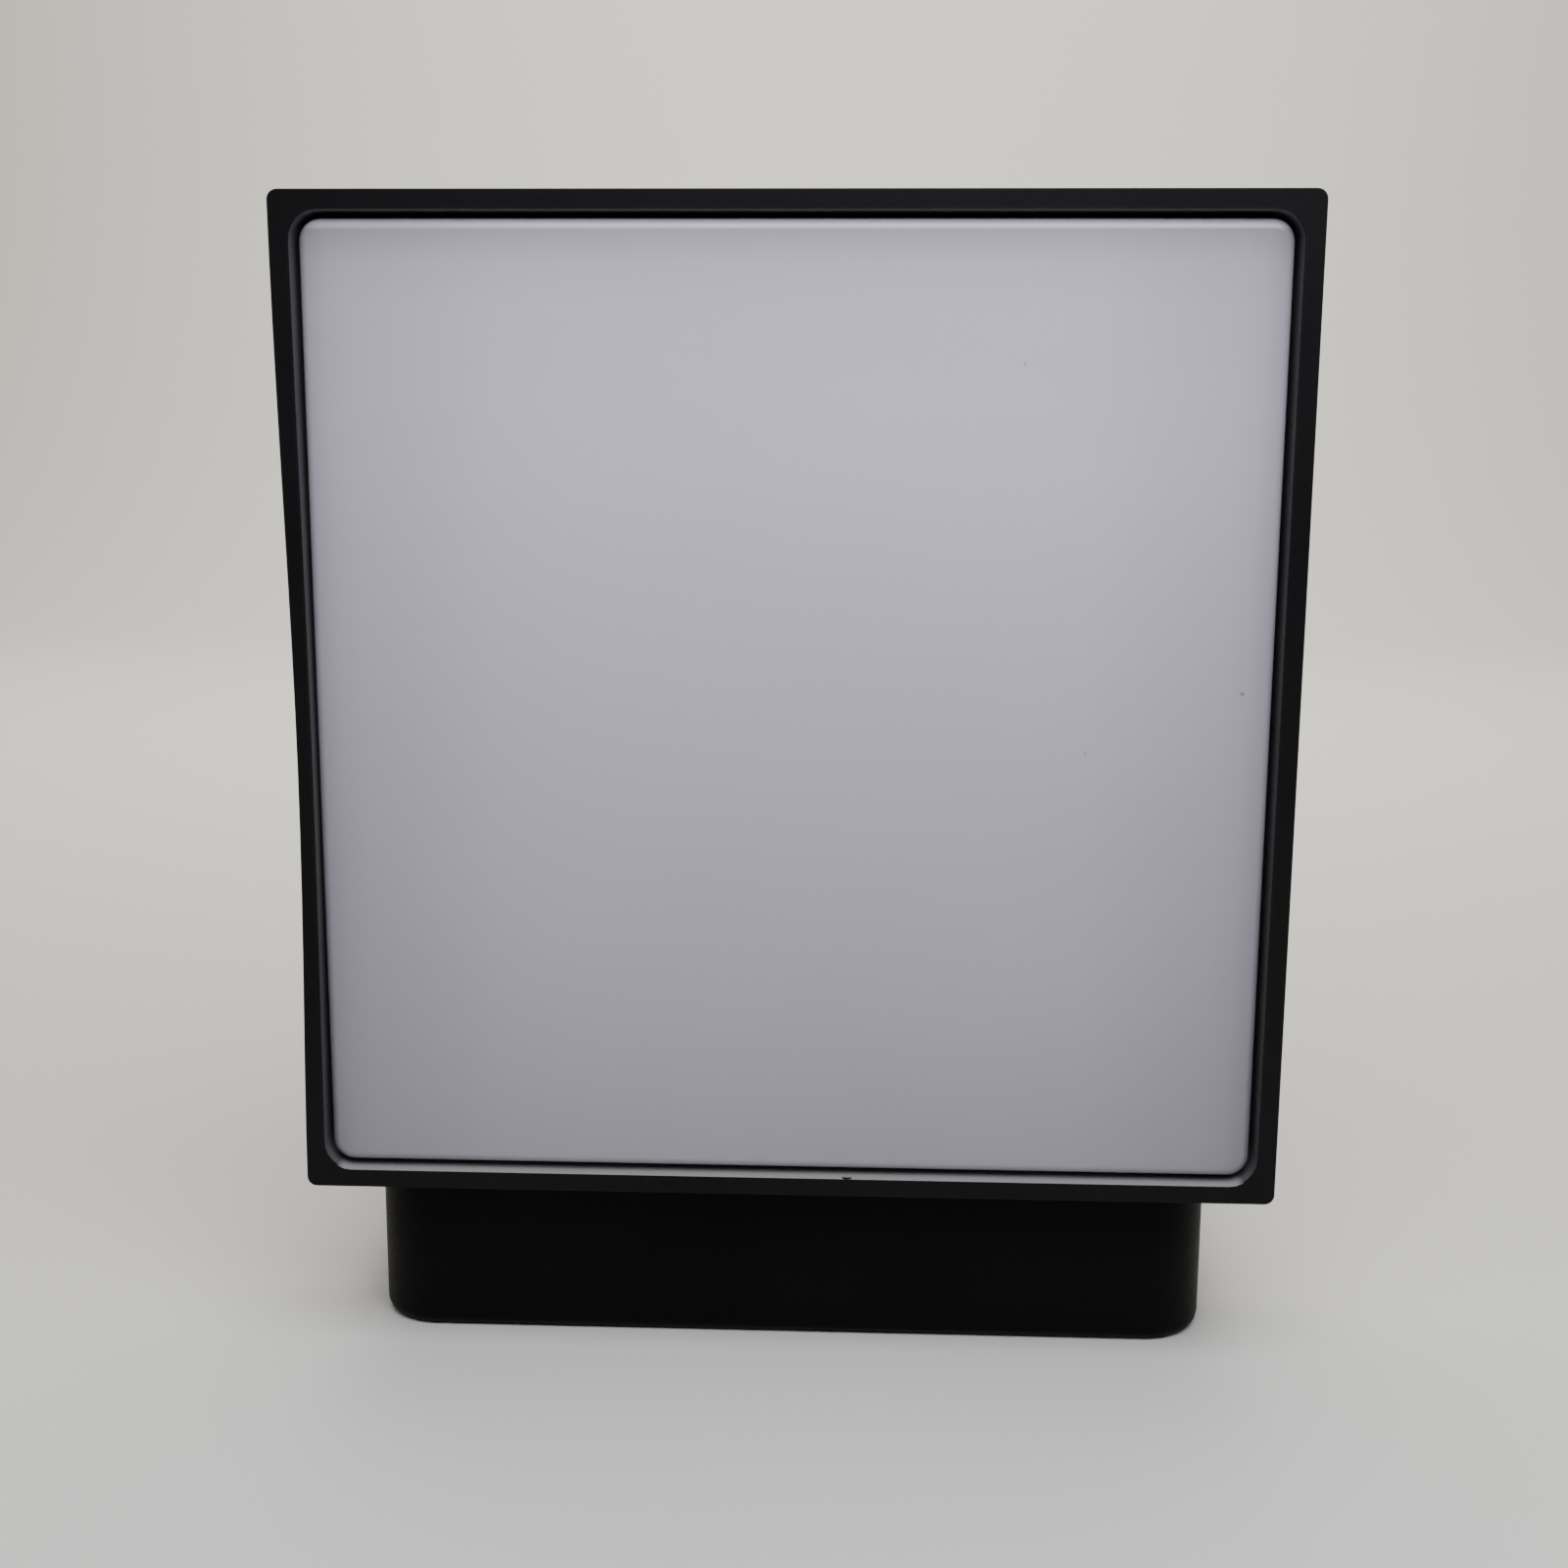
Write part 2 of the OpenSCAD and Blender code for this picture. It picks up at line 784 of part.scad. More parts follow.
// The seal between the plate and the shell's ledge
module base_seal() {
    color("#5a5a5c")
        translate([0, 0, plate_t])
            difference() {
                flat_plate(base_in_w - 2 * plate_play, base_in_d - 2 * plate_play, seal_t,
                           base_in_r);
                translate([0, 0, -cut])
                    flat_plate(base_in_w - 2 * ledge_in, base_in_d - 2 * ledge_in, 3 * cut,
                               base_in_r - ledge_in / 2);
                at_plate_screws()
                    translate([0, 0, -cut]) cylinder(r = screw_hole_r, h = seal_t + 2 * cut);
            }
}

// The four screws of the plate
module plate_screws() {
    color("#8f9092")
        at_plate_screws()
            translate([0, 0, plate_recess])
                rotate([180, 0, 0]) pan_screw(screw_r, screw_l, screw_head_r, 1.3);
}

// ---------- battery ----------

// An open tray for the cells, with a finger notch through both long walls
module battery_holder() {
    depth = battery_n * battery_pitch + 2 * holder_t;
    y0 = first_cell_y - battery_pitch / 2 - holder_t;
    wall_h = 12;
    notch_w = 24;
    notch_h = 5;
    color("#2a2a2c")
        translate([holder_x, y0, plate_t])
            difference() {
                cube([holder_w, depth, wall_h]);
                translate([holder_t, holder_t, holder_t - cell_seat])
                    cube([holder_w - 2 * holder_t, depth - 2 * holder_t, wall_h]);
                translate([(holder_w - notch_w) / 2, -cut, wall_h - notch_h])
                    cube([notch_w, depth + 2 * cut, notch_h + cut]);
            }
}

// AA cells, every second one turned round
module battery_cells() {
    color("#3f7f4f")
        for (i = [0:battery_n - 1])
            translate([
                holder_x + holder_t + spring_l,
                first_cell_y + i * battery_pitch,
                battery_z
            ])
                if (i % 2 == 0)
                    aa_cell();
                else
                    translate([cell_l, 0, 0]) mirror([1, 0, 0]) aa_cell();
}

// One cell along +X, its flat end at x = 0 and its stud at the far end
module aa_cell() {
    rod_x(0, 0, 0, cell_d / 2, cell_l - stud_l);
    rod_x(cell_l - stud_l - joint, 0, 0, stud_r, stud_l + joint);
}

// A contact plate with its spring or its stud at each end of every cell
module battery_contacts() {
    plate_w = 10;
    far_x = holder_x + holder_w - holder_t;
    cell_end = holder_x + holder_t + spring_l + cell_l;
    stack_play = 0.1;
    color("#c9cbcc")
        for (i = [0:battery_n - 1]) {
            y = first_cell_y + i * battery_pitch;
            spring_first = i % 2 == 0;
            for (x = [holder_x + holder_t, far_x - contact_t])
                translate([x, y - plate_w / 2, battery_z - plate_w / 2])
                    cube([contact_t, plate_w, plate_w]);
            contact_stack(holder_x + holder_t + contact_t - joint, y,
                          spring_l - contact_t + joint - stack_play, spring_first);
            contact_stack(cell_end + stack_play, y,
                          far_x - contact_t + joint - cell_end - stack_play, !spring_first);
        }
}

// The coiled spring at a cell's flat end, or the raised stud at its button end
module contact_stack(x, y, l, spring) {
    r = spring ? 4 : 2;
    ring = 0.8;
    translate([x, y, battery_z])
        rotate([0, 90, 0])
            difference() {
                cylinder(r = r, h = l);
                translate([0, 0, -cut]) cylinder(r = r - ring, h = l + 2 * cut);
            }
}

// ---------- controller and switch ----------

// The control board, cut away round the bosses of the plate's screws
module controller_board() {
    pcb_hole_r = 1.3;
    boss_play = 0.4;
    color("#1f5f3a")
        difference() {
            translate([pcb_x, pcb_y, pcb_z]) cube([pcb_w, pcb_d, board_t]);
            at_pcb_screws()
                translate([0, 0, pcb_z - cut]) cylinder(r = pcb_hole_r, h = board_t + 2 * cut);
            at_plate_screws()
                translate([0, 0, pcb_z - cut])
                    cylinder(r = boss_r + boss_play, h = board_t + 2 * cut);
        }
}

// The chip, coil and capacitor on the board, and its two plugs
module board_parts() {
    chip = [5, 4, 1.5];
    coil = [6, 6, 3];
    can_r = 2.5;
    can_h = 7;
    color("#1a1a1a") {
        translate([pcb_x + 3, pcb_y + 24, pcb_top]) cube(chip);
        translate([pcb_x + 8.6, pcb_y + 30, pcb_top]) cube(coil);
    }
    color("#24364f")
        translate([pcb_x + 5, pcb_y + 18, pcb_top]) cylinder(r = can_r, h = can_h);
    color("#efeee6") {
        translate([lamp_plug_x, plug_y - plug_d / 2, pcb_top])
            cube([lamp_plug_w, plug_d, plug_h]);
        translate([battery_plug_x, plug_y - plug_d / 2, pcb_top])
            cube([battery_plug_w, plug_d, plug_h]);
    }
}

// The two screws of the control board
module board_screws() {
    color("#8f9092")
        at_pcb_screws()
            translate([0, 0, pcb_top])
                pan_screw(r = 0.93, l = 3, head_r = 2, head_h = 1.2);
}

// The push switch, with a well that the plunger slides in
module tact_switch() {
    color("#262626")
        difference() {
            translate([switch_face - switch_t, button_y - switch_w / 2, pcb_top])
                cube([switch_t, switch_w, button_z - pcb_top + switch_w / 2]);
            rod_x(switch_face - plunger_in - button_travel - well_spare, button_y, button_z,
                  plunger_r + plunger_play, switch_t);
        }
}

// The plunger, which moves with the button
module switch_plunger() {
    color("#e8e8e4")
        rod_x(switch_face - plunger_in, button_y, button_z, plunger_r,
              plunger_in + plunger_out);
}

// The button: a flange inside the wall, a cap through it and a post to the plunger
module mode_button() {
    flange_t = 0.9;
    flange_play = 0.1;
    flange_x = base_w / 2 - base_wall - flange_play - flange_t;
    post_x = switch_face + plunger_out;
    flange_r = button_r + 1.2;
    post_r = 1.6;
    color("#3a3a3d") {
        rod_x(flange_x, button_y, button_z, flange_r, flange_t);
        rod_x(flange_x, button_y, button_z, button_r,
              base_w / 2 + button_out - flange_x);
        rod_x(post_x, button_y, button_z, post_r, flange_x - post_x + joint);
    }
}

// Two leads from the pivot to the lamp's plug, and two from the battery to its own
module base_leads() {
    over_cells = base_h - base_wall - 2.4;
    over_plugs = 15;
    plug_top = pcb_top + plug_h;
    holder_end = holder_x + holder_w;
    holder_top = 12.4;
    battery_out_y = -14;
    lamp_mid = lamp_plug_x + lamp_plug_w / 2;
    battery_mid = battery_plug_x + battery_plug_w / 2;
    color("#a02018")
        for (side = [-1, 1]) {
            lamp_y = axis_y + side * 1.2;
            battery_y = battery_out_y + side;
            // from the pivot, between the cells, to the lamp's plug
            lead([
                [side * 2.4, lamp_y, axis_z - tube_r - 1],
                [side * 2.4, lamp_y, over_cells],
                [holder_end + 2 + side * 0.8, lamp_y, over_cells],
                [lamp_mid + side * 2, plug_y, over_cells],
                [lamp_mid + side * 2, plug_y, plug_top]
            ]);
            // from the battery holder's end to the battery's plug
            lead([
                [holder_end, battery_y, holder_top],
                [holder_end + 2.4, battery_y, holder_top],
                [holder_end + 4, battery_y, over_plugs],
                [battery_mid + side * 1.4, plug_y, over_plugs],
                [battery_mid + side * 1.4, plug_y, plug_top]
            ]);
        }
}

head_frame();
diffuser();
lens_seal();
reflector_tray();
led_board();
leds();
led_connector();
back_cover();
cover_seal();
cover_screws();
panel_substrate();
solar_cells();
panel_glass();
pivot_tube();
pivot_washers();
pivot_caps();
head_leads();
base_shell();
base_plate();
base_seal();
plate_screws();
battery_holder();
battery_cells();
battery_contacts();
controller_board();
board_parts();
board_screws();
tact_switch();
base_leads();
mode_button();
switch_plunger();
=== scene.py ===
"""Looks of a solar garden light: a square opal-faced head that tilts above a battery base.

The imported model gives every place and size. This file makes the finished shells, the lens, the
solar panel and the fittings around it, and gives each piece the finish of the real material.
"""

import json
import logging
import math
from dataclasses import dataclass, field
from enum import Enum

import bmesh
import bpy
from mathutils import Matrix, Vector

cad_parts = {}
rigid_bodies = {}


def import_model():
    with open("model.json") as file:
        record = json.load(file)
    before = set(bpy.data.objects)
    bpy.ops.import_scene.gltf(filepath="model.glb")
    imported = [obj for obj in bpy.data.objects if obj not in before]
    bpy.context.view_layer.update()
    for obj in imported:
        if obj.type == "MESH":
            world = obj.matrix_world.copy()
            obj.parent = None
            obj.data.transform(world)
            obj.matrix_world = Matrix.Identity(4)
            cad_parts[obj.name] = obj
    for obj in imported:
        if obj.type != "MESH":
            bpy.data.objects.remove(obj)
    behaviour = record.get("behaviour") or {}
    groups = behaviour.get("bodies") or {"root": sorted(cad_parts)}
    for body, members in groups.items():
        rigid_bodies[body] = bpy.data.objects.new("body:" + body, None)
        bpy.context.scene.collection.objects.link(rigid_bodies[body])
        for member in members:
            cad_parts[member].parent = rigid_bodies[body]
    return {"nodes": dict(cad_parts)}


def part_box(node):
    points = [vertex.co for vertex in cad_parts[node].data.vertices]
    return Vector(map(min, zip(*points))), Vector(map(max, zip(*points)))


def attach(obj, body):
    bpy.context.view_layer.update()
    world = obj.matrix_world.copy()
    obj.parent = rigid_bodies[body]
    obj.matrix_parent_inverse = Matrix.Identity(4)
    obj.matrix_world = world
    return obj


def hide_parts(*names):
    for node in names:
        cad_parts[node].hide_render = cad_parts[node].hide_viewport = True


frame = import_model()

LOG = logging.getLogger("solar_light")
MM = 0.001
Tree = bpy.types.NodeTree
Socket = bpy.types.NodeSocket
Node = bpy.types.Node
Material = bpy.types.Material
Piece = bpy.types.Object
SEED = 7


# ---------------------------------------------------------------- small helpers


def linear(hex_colour: str) -> tuple[float, float, float, float]:
    """Turns an sRGB hex colour into the linear colour that shaders take.

    Args:
        hex_colour: six hex digits after a hash sign.

    Returns:
        Red, green, blue and an alpha of 1.
    """
    parts = [int(hex_colour[i : i + 2], 16) / 255 for i in (1, 3, 5)]
    rgb = [c / 12.92 if c <= 0.04045 else ((c + 0.055) / 1.055) ** 2.4 for c in parts]
    return (*rgb, 1.0)


def add(tree: Tree, kind: str, links: dict | None = None, **settings: object) -> Node:
    """Adds one node with its settings and its inputs.

    Args:
        tree: the tree that takes the node.
        kind: the node's type name.
        links: input name or index to a socket, which is linked, or to a plain value.
        settings: properties of the node, such as its operation.

    Returns:
        The new node.
    """
    node = tree.nodes.new(kind)
    for name, value in settings.items():
        setattr(node, name, value)
    for key, value in (links or {}).items():
        if isinstance(value, Socket):
            tree.links.new(value, node.inputs[key])
        else:
            node.inputs[key].default_value = value
    return node


def span(node: str) -> tuple[Vector, Vector, Vector]:
    """Gives a CAD node's lowest corner, highest corner and middle, in metres."""
    low, high = (Vector(corner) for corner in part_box(node))
    return low, high, (low + high) / 2


def rounded_outline(width: float, height: float, radius: float, steps: int) -> list[tuple[float, float]]:
    """Gives the points of a rounded rectangle about the origin, anticlockwise.

    Args:
        width: full width.
        height: full height.
        radius: corner radius.
        steps: straight pieces in each corner's arc.

    Returns:
        The points, starting at the right side of the upper right corner.
    """
    points = []
    for side_x, side_y, start in ((1, 1, 0), (-1, 1, 90), (-1, -1, 180), (1, -1, 270)):
        for i in range(steps + 1):
            angle = math.radians(start + 90 * i / steps)
            points.append(
                (
                    side_x * (width / 2 - radius) + radius * math.cos(angle),
                    side_y * (height / 2 - radius) + radius * math.sin(angle),
                )
            )
    return points


def finished_mesh(name: str, bm: bmesh.types.BMesh, sharp_deg: float = 32) -> Piece:
    """Turns a bmesh into a linked object with outward normals and smooth curved faces.

    Args:
        name: the piece's name.
        bm: the bmesh, which is freed.
        sharp_deg: edges that bend more than this stay sharp.

    Returns:
        The new object, at the origin.
    """
    bmesh.ops.recalc_face_normals(bm, faces=bm.faces)
    for face in bm.faces:
        face.smooth = True
    for edge in bm.edges:
        if len(edge.link_faces) == 2 and edge.calc_face_angle(0) > math.radians(sharp_deg):
            edge.smooth = False
    mesh = bpy.data.meshes.new(name)
    bm.to_mesh(mesh)
    bm.free()
    piece = bpy.data.objects.new(name, mesh)
    bpy.context.scene.collection.objects.link(piece)
    return piece


def loft(bm: bmesh.types.BMesh, rings: list[list[Vector]], caps: bool = True) -> None:
    """Skins closed rings of equal length, one after the other.

    Args:
        bm: takes the new faces.
        rings: the rings, each a list of points.
        caps: closes the first and the last ring with a face.
    """
    made = [[bm.verts.new(p) for p in ring] for ring in rings]
    count = len(made[0])
    for lower, upper in zip(made, made[1:]):
        for i in range(count):
            j = (i + 1) % count
            bm.faces.new((lower[i], lower[j], upper[j], upper[i]))
    if caps:
        bm.faces.new(list(reversed(made[0])))
        bm.faces.new(made[-1])


def merged_copy(node: str) -> bmesh.types.BMesh:
    """Gives a copy of a CAD node's mesh with its doubles merged and its flat faces joined.

    Args:
        node: the CAD node's name.

    Returns:
        The copy.
    """
    bm = bmesh.new()
    bm.from_mesh(frame["nodes"][node].data)
    bmesh.ops.remove_doubles(bm, verts=bm.verts, dist=2e-6)
    bmesh.ops.dissolve_limit(
        bm, angle_limit=math.radians(0.6), verts=bm.verts, edges=bm.edges, use_dissolve_boundaries=False
    )
    return bm


def ease_edges(piece: Piece, width: float, segments: int = 2) -> None:
    """Rounds a moulded piece's sharp edges, as a mould's own corners leave them.

    Args:
        piece: the piece.
        width: how far back each edge is cut, in metres.
        segments: facets across the rounding.
    """
    bevel = piece.modifiers.new("eased_edges", "BEVEL")
    bevel.width = width
    bevel.segments = segments
    bevel.limit_method = "ANGLE"
    bevel.angle_limit = math.radians(35)
    bevel.use_clamp_overlap = True
    bevel.harden_normals = True


def wear(piece: Piece, finish: Material) -> None:
    """Gives a piece one finish in place of whatever it has."""
    piece.data.materials.clear()
    piece.data.materials.append(finish)


# ---------------------------------------------------------------- finishes


class Axis(Enum):
    """A direction in the part's own frame."""

    X = 0
    Y = 1
    Z = 2


class Finish:
    """Common ground of all finishes: an empty material with its shader and coordinates."""

    def start(self, name: str) -> tuple[Material, Tree, Node, Socket]:
        """Makes the material.

        Args:
            name: the material's name.

        Returns:
            The material, its tree, its shader and the socket of Object coordinates.
        """
        material = bpy.data.materials.new(name)
        material.use_nodes = True
        tree = material.node_tree
        tree.nodes.clear()
        shader = add(tree, "ShaderNodeBsdfPrincipled")
        add(tree, "ShaderNodeOutputMaterial", {"Surface": shader.outputs["BSDF"]})
        place = add(tree, "ShaderNodeTexCoord").outputs["Object"]
        return material, tree, shader, place

    def noise(self, tree: Tree, place: Socket, size_mm: float, detail: float = 2.0) -> Socket:
        """Adds noise whose blotches are size_mm across, and gives its strength socket."""
        return add(
            tree, "ShaderNodeTexNoise", {"Vector": place, "Scale": 1 / (size_mm * MM), "Detail": detail}
        ).outputs["Fac"]

    def spread(
        self,
        tree: Tree,
        value: Socket,
        low: float,
        high: float,
        start: float = 0.3,
        end: float = 0.7,
    ) -> Socket:
        """Maps a value from start..end to low..high, and gives the result's socket.

        Args:
            tree: the tree that takes the nodes.
            value: the socket of the value.
            low: result at the start.
            high: result at the end.
            start: value where the range starts.
            end: value where the range ends.

        Returns:
            The result's socket.
        """
        return add(
            tree,
            "ShaderNodeMapRange",
            {"Value": value, "From Min": start, "From Max": end, "To Min": low, "To Max": high},
        ).outputs["Result"]

    def mixed(self, tree: Tree, amount: Socket, first: str, second: str) -> Socket:
        """Mixes two hex colours by amount, and gives the colour's socket.

        Args:
            tree: the tree that takes the nodes.
            amount: the socket of the share of the second colour.
            first: hex colour at 0.
            second: hex colour at 1.

        Returns:
            The result's socket.
        """
        node = add(tree, "ShaderNodeMix", data_type="RGBA")
        tree.links.new(amount, node.inputs["Factor"])
        node.inputs[6].default_value = linear(first)
        node.inputs[7].default_value = linear(second)
        return node.outputs[2]

    def bumped(self, tree: Tree, height: Socket, depth_mm: float, strength: float = 1.0) -> Socket:
        """Adds a bump of depth_mm, and gives its normal."""
        return add(
            tree, "ShaderNodeBump", {"Height": height, "Distance": depth_mm * MM, "Strength": strength}
        ).outputs["Normal"]


@dataclass(frozen=True)
class MouldedAbs(Finish):
    """Black ABS moulded in a spark-eroded tool.

    The eye gets a dense near-black with a fine satin grain, a soft highlight that breaks up in
    the grain, and a slightly greyer line where handling has burnished the outer edges.
    """

    name: str = "black_abs_spark_grain"
    colour: str = "#0B0B0C"
    greyer: str = "#101011"
    rubbed: str = "#1D1C1C"
    roughness: float = 0.5
    sheen_of_surface: float = 0.1  # below real ABS, to keep the black deep over a pale floor
    grain_mm: float = 0.45  # set coarse, so that it shows from the camera
    grain_depth_mm: float = 0.02
    edge_mm: float = 0.5

    def build(self) -> Material:
        """Makes the material.

        Returns:
            The material.
        """
        material, tree, shader, place = self.start(self.name)
        grain = self.noise(tree, place, self.grain_mm, 3)
        blotch = self.noise(tree, place, 22, 3)
        edge = add(tree, "ShaderNodeBevel", {"Radius": self.edge_mm * MM}, samples=6)
        facing = add(tree, "ShaderNodeNewGeometry").outputs["Normal"]
        bend = add(
            tree, "ShaderNodeVectorMath", {0: edge.outputs["Normal"], 1: facing}, operation="DOT_PRODUCT"
        ).outputs["Value"]
        patchy = self.spread(tree, blotch, 0.25, 1.0)
        rub = add(
            tree,
            "ShaderNodeMath",
            {0: self.spread(tree, bend, 1, 0, 0.72, 0.99), 1: patchy},
            operation="MULTIPLY",
            use_clamp=True,
        ).outputs["Value"]
        body = self.mixed(tree, self.spread(tree, blotch, 0, 1), self.colour, self.greyer)
        coat = add(tree, "ShaderNodeMix", data_type="RGBA")
        tree.links.new(rub, coat.inputs["Factor"])
        tree.links.new(body, coat.inputs[6])
        coat.inputs[7].default_value = linear(self.rubbed)
        tree.links.new(coat.outputs[2], shader.inputs["Base Color"])
        rough = self.spread(tree, grain, self.roughness - 0.07, self.roughness + 0.1)
        tree.links.new(rough, shader.inputs["Roughness"])
        shader.inputs["IOR"].default_value = 1.54
        shader.inputs["Specular IOR Level"].default_value = self.sheen_of_surface
        tree.links.new(self.bumped(tree, grain, self.grain_depth_mm), shader.inputs["Normal"])
        return material

    def settled_dust_and_painted_glow(self, low: Vector, high: Vector, wall: float, reach: float) -> Material:
        """Makes the material with pale dust on the ledge inside the frame's lower rim and painted light on
        the gap's other walls.

        Args:
            low: the frame's lowest corner.
            high: the frame's highest corner.
            wall: the rim's width, in metres.
            reach: how far back the dust lies, in metres.

        Returns:
            The material.
        """
        material = self.build()
        tree = material.node_tree
        shader = next(node for node in tree.nodes if node.type == "BSDF_PRINCIPLED")
        plain = shader.inputs["Base Color"].links[0].from_socket
        where = add(tree, "ShaderNodeTexCoord")
        spot = add(tree, "ShaderNodeSeparateXYZ", {"Vector": where.outputs["Object"]})
        facing = add(tree, "ShaderNodeSeparateXYZ", {"Vector": where.outputs["Normal"]})
        half = (high.x - low.x) / 2 - wall
        sideways = add(tree, "ShaderNodeMath", {0: spot.outputs["X"]}, operation="ABSOLUTE").outputs[0]
        limits = [
            self.spread(tree, facing.outputs["Z"], 0, 1, 0.6, 0.9),
            self.spread(tree, spot.outputs["Z"], 1, 0, low.z + wall + 0.2 * MM, low.z + wall + 0.6 * MM),
            self.spread(tree, spot.outputs["Z"], 0, 1, low.z + wall - 0.6 * MM, low.z + wall - 0.2 * MM),
            self.spread(tree, spot.outputs["Y"], 1, 0, low.y + reach, low.y + reach + 0.5 * MM),
            self.spread(tree, sideways, 1, 0, half - 1.5 * MM, half),
        ]
        mask = limits[0]
        for limit in limits[1:]:
            mask = add(tree, "ShaderNodeMath", {0: mask, 1: limit}, operation="MULTIPLY").outputs[0]
        # palest by the rim
        depth = self.spread(tree, spot.outputs["Y"], 0, 1, low.y + 0.4 * MM, low.y + reach)
        dust = self.mixed(tree, depth, "#9A9894", "#838086")
        # painted light on the gap's other walls: a grey that stands in for light off the lens's edge
        inside = half + 0.2 * MM
        centre = (low.z + high.z) / 2
        film = self.spread(tree, spot.outputs["Y"], 0, 1, low.y + 0.2 * MM, low.y + 0.6 * MM)
        for way, middle in (("X", 0.0), ("Z", centre)):
            off = add(tree, "ShaderNodeMath", {0: spot.outputs[way], 1: middle}, operation="SUBTRACT")
            side = add(tree, "ShaderNodeMath", {0: off.outputs[0]}, operation="ABSOLUTE").outputs[0]
            within = self.spread(tree, side, 1, 0, inside + 0.1 * MM, inside + 0.4 * MM)
            film = add(tree, "ShaderNodeMath", {0: film, 1: within}, operation="MULTIPLY").outputs[0]
        # painted light: the grey mixed in over the plain black
        painted_glow = add(tree, "ShaderNodeMix", data_type="RGBA")
        tree.links.new(film, painted_glow.inputs["Factor"])
        tree.links.new(plain, painted_glow.inputs[6])
        painted_glow.inputs[7].default_value = linear("#5A595D")
        coated = add(tree, "ShaderNodeMix", data_type="RGBA")
        tree.links.new(mask, coated.inputs["Factor"])
        tree.links.new(painted_glow.outputs[2], coated.inputs[6])
        tree.links.new(dust, coated.inputs[7])
        tree.links.new(coated.outputs[2], shader.inputs["Base Color"])
        return material


@dataclass(frozen=True)
class OpalAcrylic(Finish):
    """Opal acrylic with a polished outside.

    Light enters it and comes out again a few millimetres away, so the face is a milky lilac grey and the
    polished rounding at its edge takes a bright line. Its colour also carries painted shade: by the sides,
    just below the top's rounding and towards the foot.
    """

    name: str = "opal_acrylic"
    colour: str = "#D5CDDA"
    deeper: str = "#D0C8D5"
    dust: str = "#6E6258"
    # painted shade: share of the full colour at each distance from the lens's side, as millimetres and
    # share. It is shade painted into the colour, not the acrylic's own colour.
    shade_stops: tuple[tuple[float, float], ...] = (
        (0.4, 0.56), (3.0, 0.75), (6.0, 0.83), (22.0, 0.98), (30.0, 1.0)
    )
    # the same painted shade below the lens's top, whose polished rounding is left full
    top_shade_stops: tuple[tuple[float, float], ...] = (
        (1.0, 1.0), (1.4, 0.66), (3.0, 0.74), (5.0, 0.86), (10.0, 0.95), (20.0, 1.0)
    )
    foot_shade_share: float = 0.56

    def build(self) -> Material:
        """Makes the material.

        Returns:
            The material.
        """
        material, tree, shader, place = self.start(self.name)
        cloud = self.noise(tree, place, 60, 2)
        milk = self.mixed(tree, self.spread(tree, cloud, 0, 1), self.colour, self.deeper)
        # painted shade: the milky colour scaled down by place
        painted_shade = add(tree, "ShaderNodeVectorMath", {0: milk}, operation="SCALE")
        tree.links.new(self.painted_shade(tree, place), painted_shade.inputs["Scale"])
        body = painted_shade.outputs["Vector"]
        # a few specks of garden dust, each well under a millimetre across
        cells = add(
            tree, "ShaderNodeTexVoronoi", {"Vector": place, "Scale": 1 / (9 * MM), "Randomness": 1.0}
        )
        lot = add(tree, "ShaderNodeSeparateColor", {"Color": cells.outputs["Color"]}).outputs["Red"]
        near = self.spread(tree, cells.outputs["Distance"], 1, 0, 0.016, 0.034)
        chosen = self.spread(tree, lot, 0, 0.7, 0.88, 0.9)
        speck = add(tree, "ShaderNodeMath", {0: near, 1: chosen}, operation="MULTIPLY", use_clamp=True)
        dusty = add(tree, "ShaderNodeMix", data_type="RGBA")
        tree.links.new(speck.outputs["Value"], dusty.inputs["Factor"])
        tree.links.new(body, dusty.inputs[6])
        dusty.inputs[7].default_value = linear(self.dust)
        tree.links.new(dusty.outputs[2], shader.inputs["Base Color"])
        shader.inputs["Subsurface Weight"].default_value = 0.6
        shader.inputs["Subsurface Radius"].default_value = (1.0, 0.95, 1.05)
        shader.inputs["Subsurface Scale"].default_value = 2.5 * MM
        shader.inputs["IOR"].default_value = 1.49
        tree.links.new(self.spread(tree, cloud, 0.2, 0.27), shader.inputs["Roughness"])
        # the long shallow waves that a thin moulding cools with
        tree.links.new(self.bumped(tree, self.noise(tree, place, 35, 1), 0.02), shader.inputs["Normal"])
        return material

    def painted_shade(self, tree: Tree, place: Socket) -> Socket:
        """Gives the painted shade: the share of the milky colour kept, less by the lens's sides, below its
        top and to its foot.

        Args:
            tree: the tree that takes the nodes.
            place: the socket of Object coordinates.

        Returns:
            The socket of the share, up to 1.
        """
        low, high, middle = span("diffuser")
        half = (high.x - low.x) / 2
        spot = add(tree, "ShaderNodeSeparateXYZ", {"Vector": place})
        off = add(tree, "ShaderNodeMath", {0: spot.outputs["X"], 1: middle.x}, operation="SUBTRACT")
        side = add(tree, "ShaderNodeMath", {0: off.outputs[0]}, operation="ABSOLUTE").outputs[0]
        near = add(tree, "ShaderNodeMath", {0: half, 1: side}, operation="SUBTRACT").outputs[0]
        below = add(tree, "ShaderNodeMath", {0: high.z, 1: spot.outputs["Z"]}, operation="SUBTRACT")
        sides = self.curve(tree, near, self.shade_stops)
        top = self.curve(tree, below.outputs[0], self.top_shade_stops)
        # painted shade, darker towards the foot: not the acrylic's own colour
        foot = self.spread(tree, spot.outputs["Z"], self.foot_shade_share, 1.0, low.z, middle.z + half * 0.5)
        edges = add(tree, "ShaderNodeMath", {0: sides, 1: top}, operation="MULTIPLY").outputs[0]
        return add(tree, "ShaderNodeMath", {0: edges, 1: foot}, operation="MULTIPLY").outputs[0]

